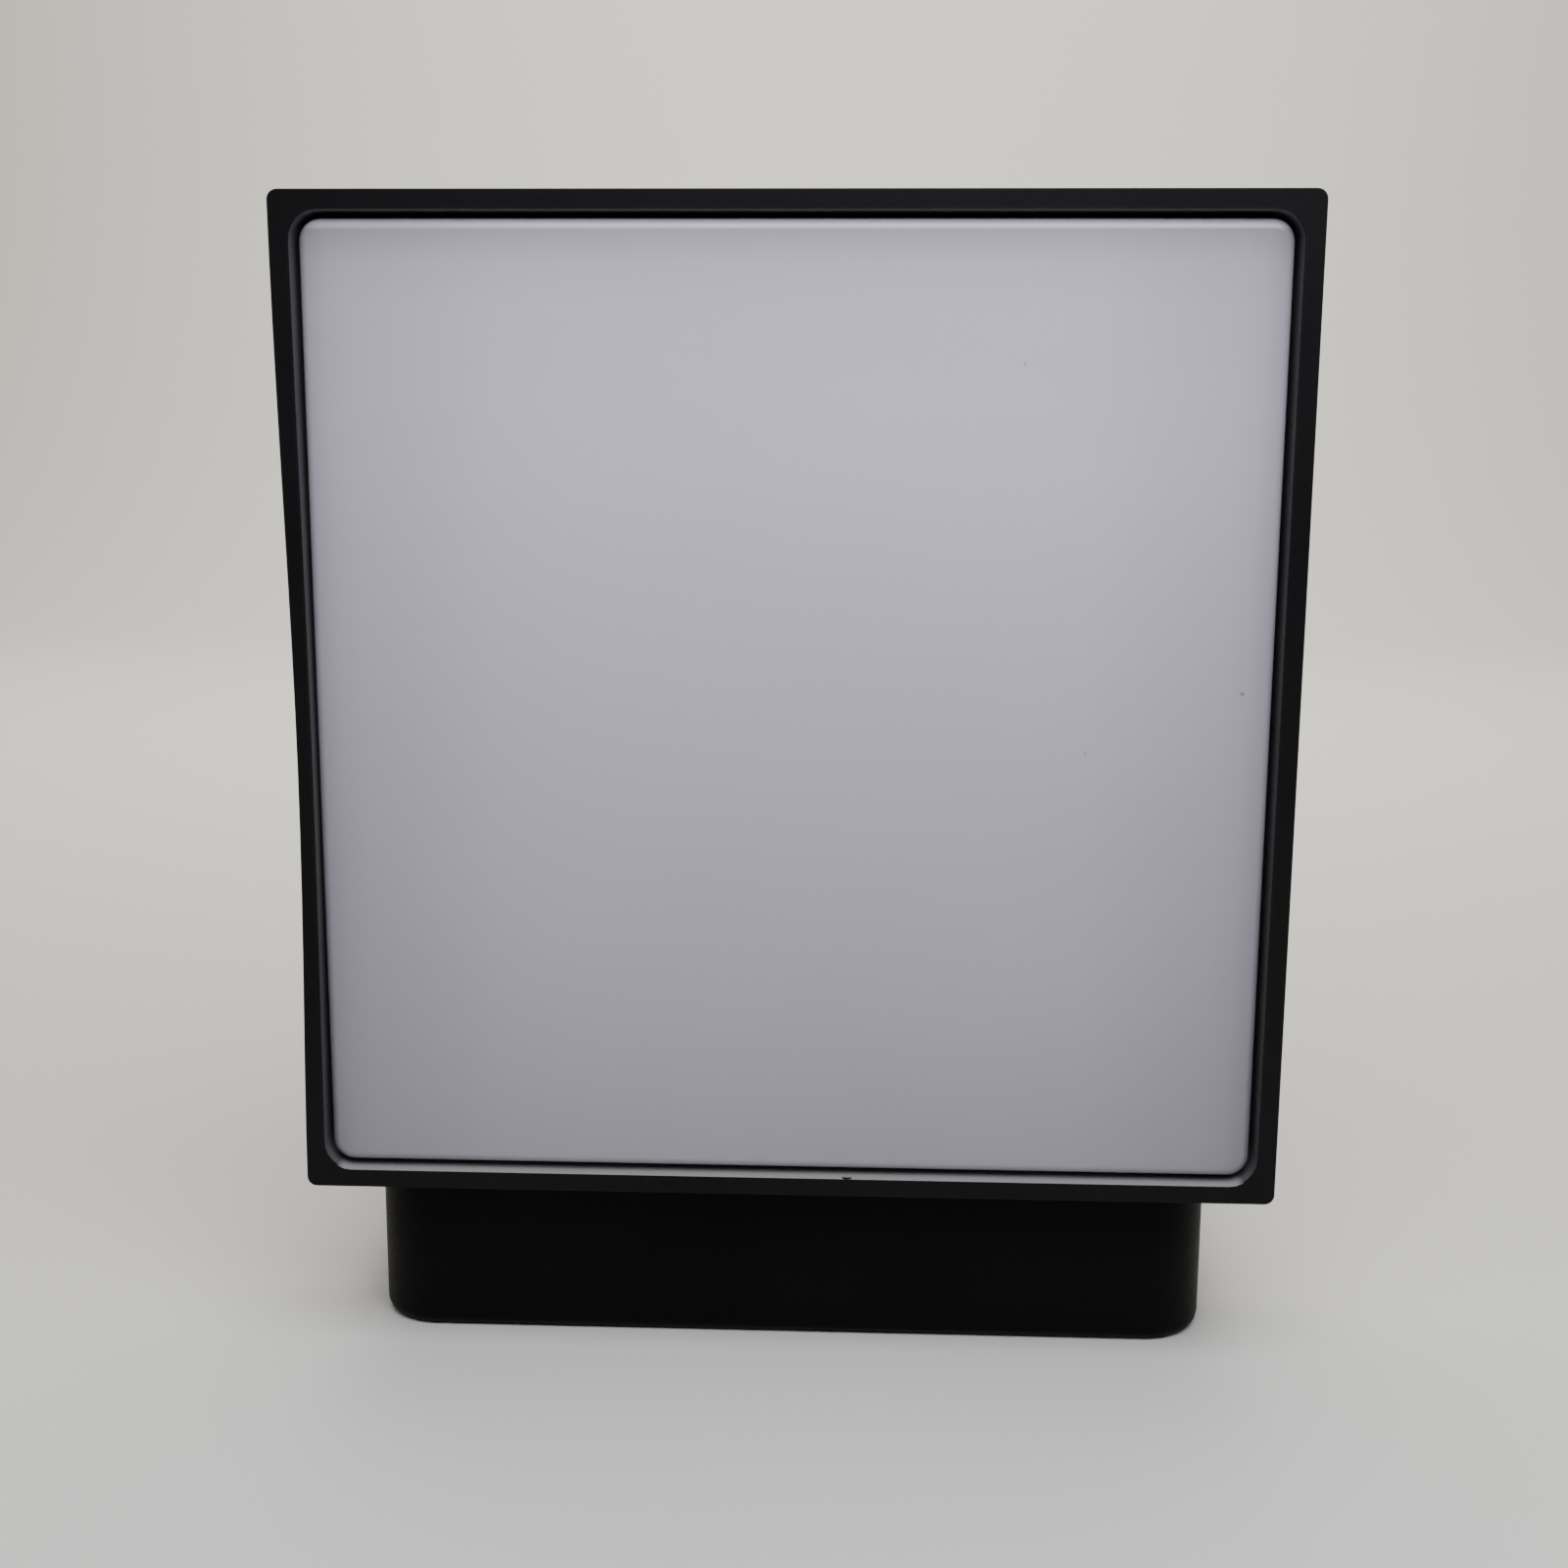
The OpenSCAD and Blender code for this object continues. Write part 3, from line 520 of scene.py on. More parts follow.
    def curve(
        self, tree: Tree, distance: Socket, stops: tuple[tuple[float, float], ...]
    ) -> Socket:
        """Turns a distance into a share by straight runs between stops.

        Args:
            tree: the tree that takes the nodes.
            distance: the socket of the distance, in metres.
            stops: pairs of millimetres and share.

        Returns:
            The socket of the share.
        """
        reach = stops[-1][0] * MM
        part = add(tree, "ShaderNodeMath", {0: distance, 1: reach}, operation="DIVIDE", use_clamp=True)
        ramp = add(tree, "ShaderNodeValToRGB", {"Fac": part.outputs[0]})
        marks = ramp.color_ramp.elements
        while len(marks) < len(stops):
            marks.new(0.5)
        for mark, (depth_mm, value) in zip(marks, stops):
            mark.position = depth_mm * MM / reach
            mark.color = (value, value, value, 1)
        return ramp.outputs["Color"]


@dataclass(frozen=True)
class PlainMoulding(Finish):
    """A smooth moulded or coated plastic, such as nylon, polystyrene or solder resist.

    The eye gets an even colour with faint clouding and a soft uneven gloss.
    """

    name: str
    colour: str
    second: str
    roughness: float = 0.4
    patch_mm: float = 8
    grain_mm: float = 0.6
    depth_mm: float = 0.008
    ior: float = 1.5

    def build(self) -> Material:
        """Makes the material.

        Returns:
            The material.
        """
        material, tree, shader, place = self.start(self.name)
        patch = self.noise(tree, place, self.patch_mm, 3)
        grain = self.noise(tree, place, self.grain_mm, 2)
        body = self.mixed(tree, self.spread(tree, patch, 0, 1), self.colour, self.second)
        tree.links.new(body, shader.inputs["Base Color"])
        rough = self.spread(tree, grain, self.roughness - 0.05, self.roughness + 0.08)
        tree.links.new(rough, shader.inputs["Roughness"])
        shader.inputs["IOR"].default_value = self.ior
        tree.links.new(self.bumped(tree, grain, self.depth_mm), shader.inputs["Normal"])
        return material


@dataclass(frozen=True)
class WorkedMetal(Finish):
    """Turned, drawn or plated metal.

    The eye gets fine lines along the way it was worked, which stretch the highlight across them.
    """

    name: str
    colour: str
    duller: str
    along: Axis = Axis.X
    roughness: float = 0.3
    line_mm: float = 0.25

    def build(self) -> Material:
        """Makes the material.

        Returns:
            The material.
        """
        material, tree, shader, place = self.start(self.name)
        stretch = [1.0, 1.0, 1.0]
        stretch[self.along.value] = 0.04
        drawn = add(tree, "ShaderNodeMapping", {"Vector": place, "Scale": tuple(stretch)})
        lines = self.noise(tree, drawn.outputs["Vector"], self.line_mm, 3)
        haze = self.noise(tree, place, 4, 3)
        body = self.mixed(tree, self.spread(tree, haze, 0, 1), self.colour, self.duller)
        tree.links.new(body, shader.inputs["Base Color"])
        rough = self.spread(tree, lines, self.roughness - 0.08, self.roughness + 0.14)
        tree.links.new(rough, shader.inputs["Roughness"])
        shader.inputs["Metallic"].default_value = 1.0
        tree.links.new(self.bumped(tree, lines, 0.004), shader.inputs["Normal"])
        return material


@dataclass(frozen=True)
class SiliconWafer(Finish):
    """Monocrystalline silicon with its blue anti-reflection film, under clear resin.

    The eye gets an almost black blue that drifts a little from place to place, beneath the
    smooth wet gloss of the resin.
    """

    name: str = "silicon_wafer_in_resin"
    colour: str = "#0C1530"
    drift: str = "#142449"

    def build(self) -> Material:
        """Makes the material.

        Returns:
            The material.
        """
        material, tree, shader, place = self.start(self.name)
        film = self.noise(tree, place, 26, 4)
        body = self.mixed(tree, self.spread(tree, film, 0, 1), self.colour, self.drift)
        tree.links.new(body, shader.inputs["Base Color"])
        tree.links.new(self.spread(tree, film, 0.3, 0.42), shader.inputs["Roughness"])
        shader.inputs["Metallic"].default_value = 0.25
        shader.inputs["Coat Weight"].default_value = 0.6
        shader.inputs["Coat Roughness"].default_value = 0.06
        tree.links.new(self.bumped(tree, self.noise(tree, place, 0.5), 0.004), shader.inputs["Normal"])
        return material


@dataclass(frozen=True)
class ClearResin(Finish):
    """Clear weatherproof resin poured over the cells.

    The eye gets a smooth, slightly wavy window with a crisp reflection.
    """

    name: str = "clear_resin"
    colour: str = "#F2F7FA"

    def build(self) -> Material:
        """Makes the material.

        Returns:
            The material.
        """
        material, tree, shader, place = self.start(self.name)
        shader.inputs["Base Color"].default_value = linear(self.colour)
        shader.inputs["Transmission Weight"].default_value = 1.0
        shader.inputs["IOR"].default_value = 1.48
        wave = self.noise(tree, place, 18, 2)
        tree.links.new(self.spread(tree, wave, 0.03, 0.07), shader.inputs["Roughness"])
        tree.links.new(self.bumped(tree, wave, 0.02), shader.inputs["Normal"])
        return material


@dataclass
class FinishShelf:
    """Every finish that the light uses, built once and handed out by name."""

    built: dict[str, Material] = field(default_factory=dict)

    def stock(self) -> None:
        """Builds all the finishes."""
        plain = PlainMoulding
        finishes = [
            MouldedAbs(),
            # painted shade and a painted reflection: the base's black is darker and browner than the
            # head's, for the shade under the head and a warm reflection from below
            MouldedAbs(
                name="black_abs_base_painted_shade", colour="#080706", greyer="#0C0B0A", rubbed="#141312",
                sheen_of_surface=0.06,
            ),
            OpalAcrylic(),
            plain("white_polystyrene", "#F1F1EE", "#E6E6E1", 0.35),
            plain("white_solder_resist", "#EDECE4", "#E2E1D8", 0.38, 12),
            plain("green_solder_resist", "#174F2C", "#103E22", 0.3, 6),
            plain("led_phosphor", "#EBC85A", "#DDB545", 0.45, 1.2),
            plain("natural_nylon", "#E4E0D0", "#D9D4C2", 0.42),
            plain("black_epoxy", "#171718", "#222223", 0.42, 3),
            plain("foam_rubber", "#3B3B3D", "#2E2E30", 0.85, 2, 0.5, 0.08),
            plain("grey_silicone", "#38383B", "#303033", 0.62, 5, 0.4, 0.01, 1.41),
            plain("red_silicone_lead", "#8E1B14", "#7A150F", 0.5, 4, 0.4, 0.01, 1.41),
            plain("green_shrink_sleeve", "#2C6B3E", "#245C34", 0.28, 10),
            plain("panel_laminate", "#0A0E16", "#10151F", 0.4, 10),
            WorkedMetal("stainless_screw", "#A3A4A5", "#8D8E8F", Axis.Z, 0.3),
            WorkedMetal("drawn_aluminium", "#B4B6B8", "#A2A4A6", Axis.X, 0.32),
            WorkedMetal("nickel_plated_spring", "#BDBDBB", "#A9A9A6", Axis.X, 0.2),
            WorkedMetal("silver_finger", "#B9BCC0", "#A5A8AC", Axis.X, 0.35),
            SiliconWafer(),
            ClearResin(),
        ]
        for finish in finishes:
            self.built[finish.name] = finish.build()

    def get(self, name: str) -> Material:
        """Gives a finish by its name."""
        return self.built[name]


# ---------------------------------------------------------------- repeated pieces


@dataclass
class NodeTool:
    """A Geometry Nodes tree built in the script, run once and kept as a plain mesh."""

    name: str
    sizes: dict[str, float]

    def __post_init__(self) -> None:
        """Makes the tree with its mesh input, its material input and one input for each size."""
        self.tree = bpy.data.node_groups.new(self.name, "GeometryNodeTree")
        face = self.tree.interface
        face.new_socket("Geometry", in_out="INPUT", socket_type="NodeSocketGeometry")
        face.new_socket("Geometry", in_out="OUTPUT", socket_type="NodeSocketGeometry")
        self.ids = {
            size: face.new_socket(size, in_out="INPUT", socket_type="NodeSocketFloat").identifier
            for size in self.sizes
        }
        finish = face.new_socket("Finish", in_out="INPUT", socket_type="NodeSocketMaterial")
        self.ids["Finish"] = finish.identifier
        self.given = add(self.tree, "NodeGroupInput")

    def size(self, name: str) -> Socket:
        """Gives the socket of a named size."""
        return self.given.outputs[name]

    def maths(self, operation: str, first: object, second: object) -> Socket:
        """Adds a Math node and gives its result's socket."""
        return add(self.tree, "ShaderNodeMath", {0: first, 1: second}, operation=operation).outputs[0]

    def vector(self, x: object = 0.0, y: object = 0.0, z: object = 0.0) -> Socket:
        """Joins three values or sockets into a vector."""
        return add(self.tree, "ShaderNodeCombineXYZ", {"X": x, "Y": y, "Z": z}).outputs["Vector"]

    def moved(self, shape: Socket, by: Socket) -> Socket:
        """Moves a shape by a vector."""
        node = add(self.tree, "GeometryNodeTransform", {"Geometry": shape, "Translation": by})
        return node.outputs["Geometry"]

    def joined(self, shapes: list[Socket]) -> Socket:
        """Joins several shapes into one.

        Args:
            shapes: the sockets of the shapes.

        Returns:
            The result's socket.
        """
        node = add(self.tree, "GeometryNodeJoinGeometry")
        for shape in shapes:
            self.tree.links.new(shape, node.inputs["Geometry"])
        return node.outputs["Geometry"]

    def on_points(self, shape: Socket, turn: tuple[float, float, float], jitter: float = 0.0) -> Socket:
        """Sets a copy of a shape on each point of the tree's own mesh.

        Args:
            shape: the shape to repeat.
            turn: the rotation that all copies share, in radians.
            jitter: how far each copy may turn about its own Z first, in radians.

        Returns:
            The instances' socket.
        """
        instances = add(
            self.tree,
            "GeometryNodeInstanceOnPoints",
            {"Points": self.given.outputs["Geometry"], "Instance": shape, "Rotation": turn},
        ).outputs["Instances"]
        if jitter:
            index = add(self.tree, "GeometryNodeInputIndex").outputs[0]
            chance = add(
                self.tree,
                "FunctionNodeRandomValue",
                {"Min": Vector((0, 0, -jitter)), "Max": Vector((0, 0, jitter)), "ID": index, "Seed": SEED},
                data_type="FLOAT_VECTOR",
            )
            instances = add(
                self.tree,
                "GeometryNodeRotateInstances",
                {"Instances": instances, "Rotation": chance.outputs[0]},
            ).outputs["Instances"]
        return instances

    def run(self, shape: Socket, places: list[Vector], finish: Material) -> Piece:
        """Ends the tree, runs it on points and gives the plain mesh that it makes.

        Args:
            shape: the socket of the finished shape.
            places: the points that carry copies.
            finish: the material.

        Returns:
            The finished object, at the origin and with no modifier.
        """
        real = add(self.tree, "GeometryNodeRealizeInstances", {"Geometry": shape}).outputs["Geometry"]
        dressed = add(
            self.tree,
            "GeometryNodeSetMaterial",
            {"Geometry": real, "Material": self.given.outputs["Finish"]},
        ).outputs["Geometry"]
        add(self.tree, "NodeGroupOutput", {"Geometry": dressed})
        seed_mesh = bpy.data.meshes.new(self.name + "_places")
        seed_mesh.from_pydata([tuple(p) for p in places], [], [])
        carrier = bpy.data.objects.new(self.name + "_places", seed_mesh)
        bpy.context.scene.collection.objects.link(carrier)
        modifier = carrier.modifiers.new(self.name, "NODES")
        modifier.node_group = self.tree
        for size, value in self.sizes.items():
            modifier[self.ids[size]] = value
        modifier[self.ids["Finish"]] = finish
        evaluated = carrier.evaluated_get(bpy.context.evaluated_depsgraph_get())
        mesh = bpy.data.meshes.new_from_object(evaluated)
        mesh.name = self.name
        piece = bpy.data.objects.new(self.name, mesh)
        bpy.context.scene.collection.objects.link(piece)
        bpy.data.objects.remove(carrier)
        return piece


@dataclass
class PanScrew:
    """A pan-head screw with a cross recess, modelled with its head's underside at its origin."""

    name: str
    head_radius: float
    head_height: float
    shank_radius: float
    shank_length: float

    def make(self, places: list[Vector], turn: tuple[float, float, float], finish: Material) -> Piece:
        """Makes one piece that holds a screw at each place.

        Args:
            places: where each head's underside sits.
            turn: the rotation from +Z to the heads' own direction.
            finish: the metal.

        Returns:
            The piece.
        """
        tool = NodeTool(
            self.name,
            {
                "Head Radius": self.head_radius,
                "Head Height": self.head_height,
                "Shank Radius": self.shank_radius,
                "Shank Length": self.shank_length,
            },
        )
        radius, height = tool.size("Head Radius"), tool.size("Head Height")
        straight = tool.maths("MULTIPLY", height, 0.45)
        disc = add(
            tool.tree,
            "GeometryNodeMeshCylinder",
            {"Vertices": 32, "Radius": radius, "Depth": straight},
        )
        shape, top = disc.outputs["Mesh"], disc.outputs["Top"]
        for rise, narrowing in ((0.3, 0.9), (0.17, 0.82), (0.08, 0.62)):
            pulled = add(
                tool.tree,
                "GeometryNodeExtrudeMesh",
                {"Mesh": shape, "Selection": top, "Offset Scale": tool.maths("MULTIPLY", height, rise)},
            )
            top = pulled.outputs["Top"]
            shape = add(
                tool.tree,
                "GeometryNodeScaleElements",
                {"Geometry": pulled.outputs["Mesh"], "Selection": top, "Scale": narrowing},
            ).outputs["Geometry"]
        head = tool.moved(shape, tool.vector(z=tool.maths("MULTIPLY", straight, 0.5)))
        long_way, short_way = tool.maths("MULTIPLY", radius, 1.15), tool.maths("MULTIPLY", radius, 0.26)
        slots = []
        for x, y in ((long_way, short_way), (short_way, long_way)):
            bar = add(tool.tree, "GeometryNodeMeshCube", {"Size": tool.vector(x, y, height)})
            rise = tool.vector(z=tool.maths("MULTIPLY", height, 0.95))
            slots.append(tool.moved(bar.outputs["Mesh"], rise))
        cut = add(tool.tree, "GeometryNodeMeshBoolean", {"Mesh 1": head}, operation="DIFFERENCE")
        for slot in slots:
            tool.tree.links.new(slot, cut.inputs["Mesh 2"])
        shank = add(
            tool.tree,
            "GeometryNodeMeshCylinder",
            {"Vertices": 20, "Radius": tool.size("Shank Radius"), "Depth": tool.size("Shank Length")},
        ).outputs["Mesh"]
        drop = tool.maths("MULTIPLY", tool.size("Shank Length"), -0.5)
        screw = tool.joined([cut.outputs["Mesh"], tool.moved(shank, tool.vector(z=drop))])
        return tool.run(tool.on_points(screw, turn, math.pi), places, finish)


# ---------------------------------------------------------------- sub-assemblies


@dataclass
class LightHead:
    """The square head: frame, opal lens, back cover and its screws."""

    shelf: FinishShelf
    body: str = "head"
    edge: float = 0.3 * MM
    outer_bow: float = 0.9 * MM  # how far the left wall is drawn in at its deepest, outside
    inner_bow: float = 0.4 * MM  # and inside
    bow_skew: float = 0.85  # below 1 it moves the deepest place into the lower half
    wall: float = 2.2 * MM
    ledge_reach: float = 3.4 * MM
    burr_x: float = 7.5 * MM
    burr: tuple[float, float, float] = (0.6 * MM, 0.4 * MM, 0.34 * MM)
    lens_edge: float = 1.2 * MM
    lens_corner: float = 2.6 * MM
    least_corner: float = 0.9 * MM
    lens_skirt: float = 1.6 * MM
    lens_face: float = 2.0 * MM
    arc_steps: int = 8

    def build(self) -> list[Piece]:
        """Builds every piece of the head's case."""
        return [self.frame_shell(), self.lens(), self.rear_cover(), self.screws()]

    def frame_shell(self) -> Piece:
        """Builds the frame with eased edges, and its left wall drawn in a little.

        Returns:
            The piece.
        """
        low, high, middle = span("head_frame")
        bm = merged_copy("head_frame")
        slices = 16
        for i in range(1, slices):
            z = low.z + (high.z - low.z) * i / slices
            bmesh.ops.bisect_plane(
                bm,
                geom=bm.verts[:] + bm.edges[:] + bm.faces[:],
                plane_co=(0, 0, z),
                plane_no=(0, 0, 1),
            )
        for vert in bm.verts:
            across = (vert.co.x - low.x) / self.wall
            if across < 1.05:
                up = min(1.0, max(0.0, (vert.co.z - low.z) / (high.z - low.z)))
                bow = self.outer_bow + (self.inner_bow - self.outer_bow) * min(1.0, across)
                vert.co.x += bow * math.sin(math.pi * up**self.bow_skew) ** 2
        # the little burr that the tool left on the rim's inner lower edge
        burr = bmesh.ops.create_icosphere(bm, subdivisions=3, radius=1.0)["verts"]
        spot = Vector((middle.x + self.burr_x, low.y + self.burr[1], low.z + self.wall))
        for vert in burr:
            vert.co = Vector(c * size for c, size in zip(vert.co, self.burr)) + spot
        piece = finished_mesh("frame_shell", bm)
        ease_edges(piece, self.edge)
        finish = MouldedAbs(name="black_abs_dusty_ledge_painted_glow")
        wear(piece, finish.settled_dust_and_painted_glow(low, high, self.wall, self.ledge_reach))
        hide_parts("head_frame")
        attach(piece, self.body)
        return piece

    def lens(self) -> Piece:
        """Builds the opal lens as one closed shell with a polished round edge.

        Returns:
            The piece.
        """
        low, high, middle = span("diffuser")
        width, height = high.x - low.x, high.z - low.z

        def ring(inset: float, depth: float, radius: float) -> list[Vector]:
            """Gives one outline of the lens at a depth behind its face."""
            return [
                Vector((middle.x + x, low.y + depth, middle.z + z))
                for x, z in rounded_outline(width - 2 * inset, height - 2 * inset, radius, self.arc_steps)
            ]

        depth = high.y - low.y
        inner = self.lens_corner - self.lens_skirt * 0.6
        rings = [ring(self.lens_skirt, self.lens_face, inner), ring(self.lens_skirt, depth, inner)]
        rings += [ring(0, depth, self.lens_corner)]
        for i in range(self.arc_steps + 1):
            angle = math.radians(90 * i / self.arc_steps)
            inset = self.lens_edge * (1 - math.cos(angle))
            corner = max(self.least_corner, self.lens_corner - inset * 0.9)
            rings.append(ring(inset, self.lens_edge * (1 - math.sin(angle)), corner))
        bm = bmesh.new()
        loft(bm, rings)
        piece = finished_mesh("opal_lens", bm)
        wear(piece, self.shelf.get("opal_acrylic"))
        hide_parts("diffuser")
        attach(piece, self.body)
        return piece

    def rear_cover(self) -> Piece:
        """Builds the back cover with its two pivot ears, all edges eased.

        Returns:
            The piece.
        """
        piece = finished_mesh("rear_cover", merged_copy("back_cover"))
        ease_edges(piece, self.edge)
        wear(piece, self.shelf.get("black_abs_spark_grain"))
        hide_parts("back_cover")
        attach(piece, self.body)
        return piece

    def screws(self) -> Piece:
        """Builds the four screws that hold the back cover.

        Returns:
            The piece.
        """
        low, high, middle = span("cover_screws")
        reach, set_in = 2.8 * MM, 1.7 * MM
        half = (high.z - low.z) / 2 - reach
        places = [
            Vector((sx * (high.x - reach), high.y - set_in, middle.z + sz * half))
            for sx in (-1, 1)
            for sz in (-1, 1)
        ]
        screw = PanScrew("cover_screw_set", reach, 1.65 * MM, 1.2 * MM, 8.2 * MM)
        piece = screw.make(places, (-math.pi / 2, 0, 0), self.shelf.get("stainless_screw"))
        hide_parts("cover_screws")
        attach(piece, self.body)
        return piece


@dataclass
class SolarPanel:
    """The solar panel let into the back cover."""

    shelf: FinishShelf
    body: str = "head"
    columns: int = 6
    rows: int = 2
    space: float = 0.8 * MM
    wafer: float = 0.24 * MM
    line: float = 0.05 * MM
    finger_w: float = 0.16 * MM
    finger_pitch: float = 2.0 * MM
    bus_w: float = 1.1 * MM

    def build(self) -> list[Piece]:
        """Builds the wafers, the silver lines on them and the resin over them.

        Returns:
            The pieces.
        """
        low, high, _ = span("solar_cells")
        self.cell_w = (high.x - low.x - (self.columns - 1) * self.space) / self.columns
        self.cell_h = (high.z - low.z - (self.rows - 1) * self.space) / self.rows
        self.middles = [
            Vector(
                (
                    low.x + self.cell_w / 2 + i * (self.cell_w + self.space),
                    low.y + self.wafer / 2,
                    low.z + self.cell_h / 2 + j * (self.cell_h + self.space),
                )
            )
            for i in range(self.columns)
            for j in range(self.rows)
        ]
        return [self.wafers(), self.silver(), self.resin()]

    def wafers(self) -> Piece:
        """Builds the wafers, one box on each middle.

        Returns:
            The piece.
        """
        tool = NodeTool(
            "silicon_wafers",
            {"Cell Width": self.cell_w, "Cell Height": self.cell_h, "Thickness": self.wafer},
        )
        size = tool.vector(tool.size("Cell Width"), tool.size("Thickness"), tool.size("Cell Height"))
        box = add(tool.tree, "GeometryNodeMeshCube", {"Size": size}).outputs["Mesh"]
        finish = self.shelf.get("silicon_wafer_in_resin")
        piece = tool.run(tool.on_points(box, (0, 0, 0)), self.middles, finish)
        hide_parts("solar_cells")
        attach(piece, self.body)
        return piece

    def silver(self) -> Piece:
        """Builds the printed silver fingers and the two busbars of every wafer.

        Returns:
            The piece.
        """
        count = int(self.cell_h / self.finger_pitch)
        tool = NodeTool(
            "silver_fingers",
            {
                "Length": self.cell_w - 0.8 * MM,
                "Width": self.finger_w,
                "Thickness": self.line,
                "Pitch": self.finger_pitch,
                "Bus Width": self.bus_w,
                "Bus Length": self.cell_h - 1.2 * MM,
            },
        )
        thick, pitch = tool.size("Thickness"), tool.size("Pitch")
        finger_size = tool.vector(tool.size("Length"), thick, tool.size("Width"))
        finger = add(tool.tree, "GeometryNodeMeshCube", {"Size": finger_size}).outputs["Mesh"]
        row = add(
            tool.tree,
            "GeometryNodeMeshLine",
            {
                "Count": count,
                "Start Location": tool.vector(z=tool.maths("MULTIPLY", pitch, -(count - 1) / 2)),
                "Offset": tool.vector(z=pitch),
            },
        ).outputs["Mesh"]
        fingers = add(
            tool.tree, "GeometryNodeInstanceOnPoints", {"Points": row, "Instance": finger}
        ).outputs["Instances"]
        bar_size = tool.vector(
            tool.size("Bus Width"), tool.maths("MULTIPLY", thick, 1.1), tool.size("Bus Length")
        )
        bar = add(tool.tree, "GeometryNodeMeshCube", {"Size": bar_size}).outputs["Mesh"]
        bars = [
            tool.moved(bar, tool.vector(x=tool.maths("MULTIPLY", tool.size("Length"), share)))
            for share in (-0.25, 0.25)
        ]
        places = [p + Vector((0, self.wafer / 2 + self.line * 0.4, 0)) for p in self.middles]
        shape = tool.on_points(tool.joined([fingers, *bars]), (0, 0, 0))
        piece = tool.run(shape, places, self.shelf.get("silver_finger"))
        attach(piece, self.body)
        return piece

    def resin(self) -> Piece:
        """Builds the clear slab over the cells, with a rounded rim.

        Returns:
            The piece.
        """
        low, high, middle = span("panel_glass")
        width, height = high.x - low.x, high.z - low.z
        start = 0.31 * MM
        round_off = 0.35 * MM
        rings = []
        levels = (
            (0, low.y + start),
            (0, high.y - round_off),
            (0.1 * MM, high.y - 0.1 * MM),
            (round_off, high.y),
        )
        for inset, y in levels:
            rings.append(
                [
                    Vector((middle.x + x, y, middle.z + z))
                    for x, z in rounded_outline(width - 2 * inset, height - 2 * inset, 1.5 * MM, 6)
                ]
            )
        bm = bmesh.new()
        loft(bm, rings)
        piece = finished_mesh("resin_window", bm)
        wear(piece, self.shelf.get("clear_resin"))
        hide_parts("panel_glass")
        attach(piece, self.body)
        return piece


@dataclass
class BatteryBase:
    """The base: its shell with the pivot knuckle, its plate, its screws and the mode button."""

    shelf: FinishShelf
    body: str = "base"
    edge: float = 0.3 * MM

    def build(self) -> list[Piece]:
        """Builds every outer piece of the base."""
        return [self.shell(), self.plate(), self.screws(), self.button()]

    def eased(self, name: str, node: str, finish: str, body: str, edge: float) -> Piece:
        """Builds a CAD node again with eased edges.

        Args:
            name: the new piece's name.
            node: the CAD node that it stands for.
            finish: its finish.
            body: the body it rides on.
            edge: how far each edge is cut back, in metres.

        Returns:
            The piece.
        """
        piece = finished_mesh(name, merged_copy(node))
        ease_edges(piece, edge)
        wear(piece, self.shelf.get(finish))
        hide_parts(node)
        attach(piece, body)
        return piece

    def shell(self) -> Piece:
        """Builds the base's shell."""
        return self.eased(
            "base_housing", "base_shell", "black_abs_base_painted_shade", self.body, self.edge
        )

    def plate(self) -> Piece:
        """Builds the plate that closes the underside."""
        return self.eased(
            "underside_plate", "base_plate", "black_abs_base_painted_shade", self.body, 0.2 * MM
        )

    def screws(self) -> Piece:
        """Builds the four screws of the plate.

        Returns:
            The piece.
        """
        low, high, _ = span("plate_screws")
        reach = 2.8 * MM
        rows = (low.y + reach, high.y - reach)
        places = [Vector((sx * (high.x - reach), y, 1.4 * MM)) for sx in (-1, 1) for y in rows]
        screw = PanScrew("plate_screw_set", reach, 1.25 * MM, 1.2 * MM, 8.2 * MM)
        piece = screw.make(places, (math.pi, 0, 0), self.shelf.get("stainless_screw"))
        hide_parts("plate_screws")
        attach(piece, self.body)
        return piece

    def button(self) -> Piece:
        """Builds the mode button's soft cap with eased edges."""
        return self.eased(
            "mode_button_cap", "mode_button", "grey_silicone", "button", 0.5 * MM
        )


@dataclass
class Innards:
    """What the case hides, and the pivot's small pieces: CAD pieces that only need a finish."""

    shelf: FinishShelf
    finishes: dict[str, str] = field(
        default_factory=lambda: {
            "lens_seal": "foam_rubber",
            "reflector_tray": "white_polystyrene",
            "led_board": "white_solder_resist",
            "leds": "led_phosphor",
            "led_connector": "natural_nylon",
            "cover_seal": "foam_rubber",
            "panel_substrate": "panel_laminate",
            "pivot_tube": "drawn_aluminium",
            "pivot_washers": "foam_rubber",
            "pivot_caps": "black_abs_spark_grain",
            "head_leads": "red_silicone_lead",
            "base_seal": "foam_rubber",
            "battery_holder": "black_epoxy",
            "battery_cells": "green_shrink_sleeve",
            "battery_contacts": "nickel_plated_spring",
            "controller_board": "green_solder_resist",
            "board_parts": "black_epoxy",
            "board_screws": "stainless_screw",
            "tact_switch": "black_epoxy",
            "base_leads": "red_silicone_lead",
            "switch_plunger": "natural_nylon",
        }
    )

    def build(self) -> list[Piece]:
        """Gives each CAD piece its finish.

        Returns:
            The pieces.
        """
        dressed = []
        for node, finish in self.finishes.items():
            piece = frame["nodes"][node]
            for i in range(max(1, len(piece.material_slots))):
                if i < len(piece.material_slots):
                    piece.material_slots[i].material = self.shelf.get(finish)
                else:
                    piece.data.materials.append(self.shelf.get(finish))
            dressed.append(piece)
        return dressed


# ---------------------------------------------------------------- studio


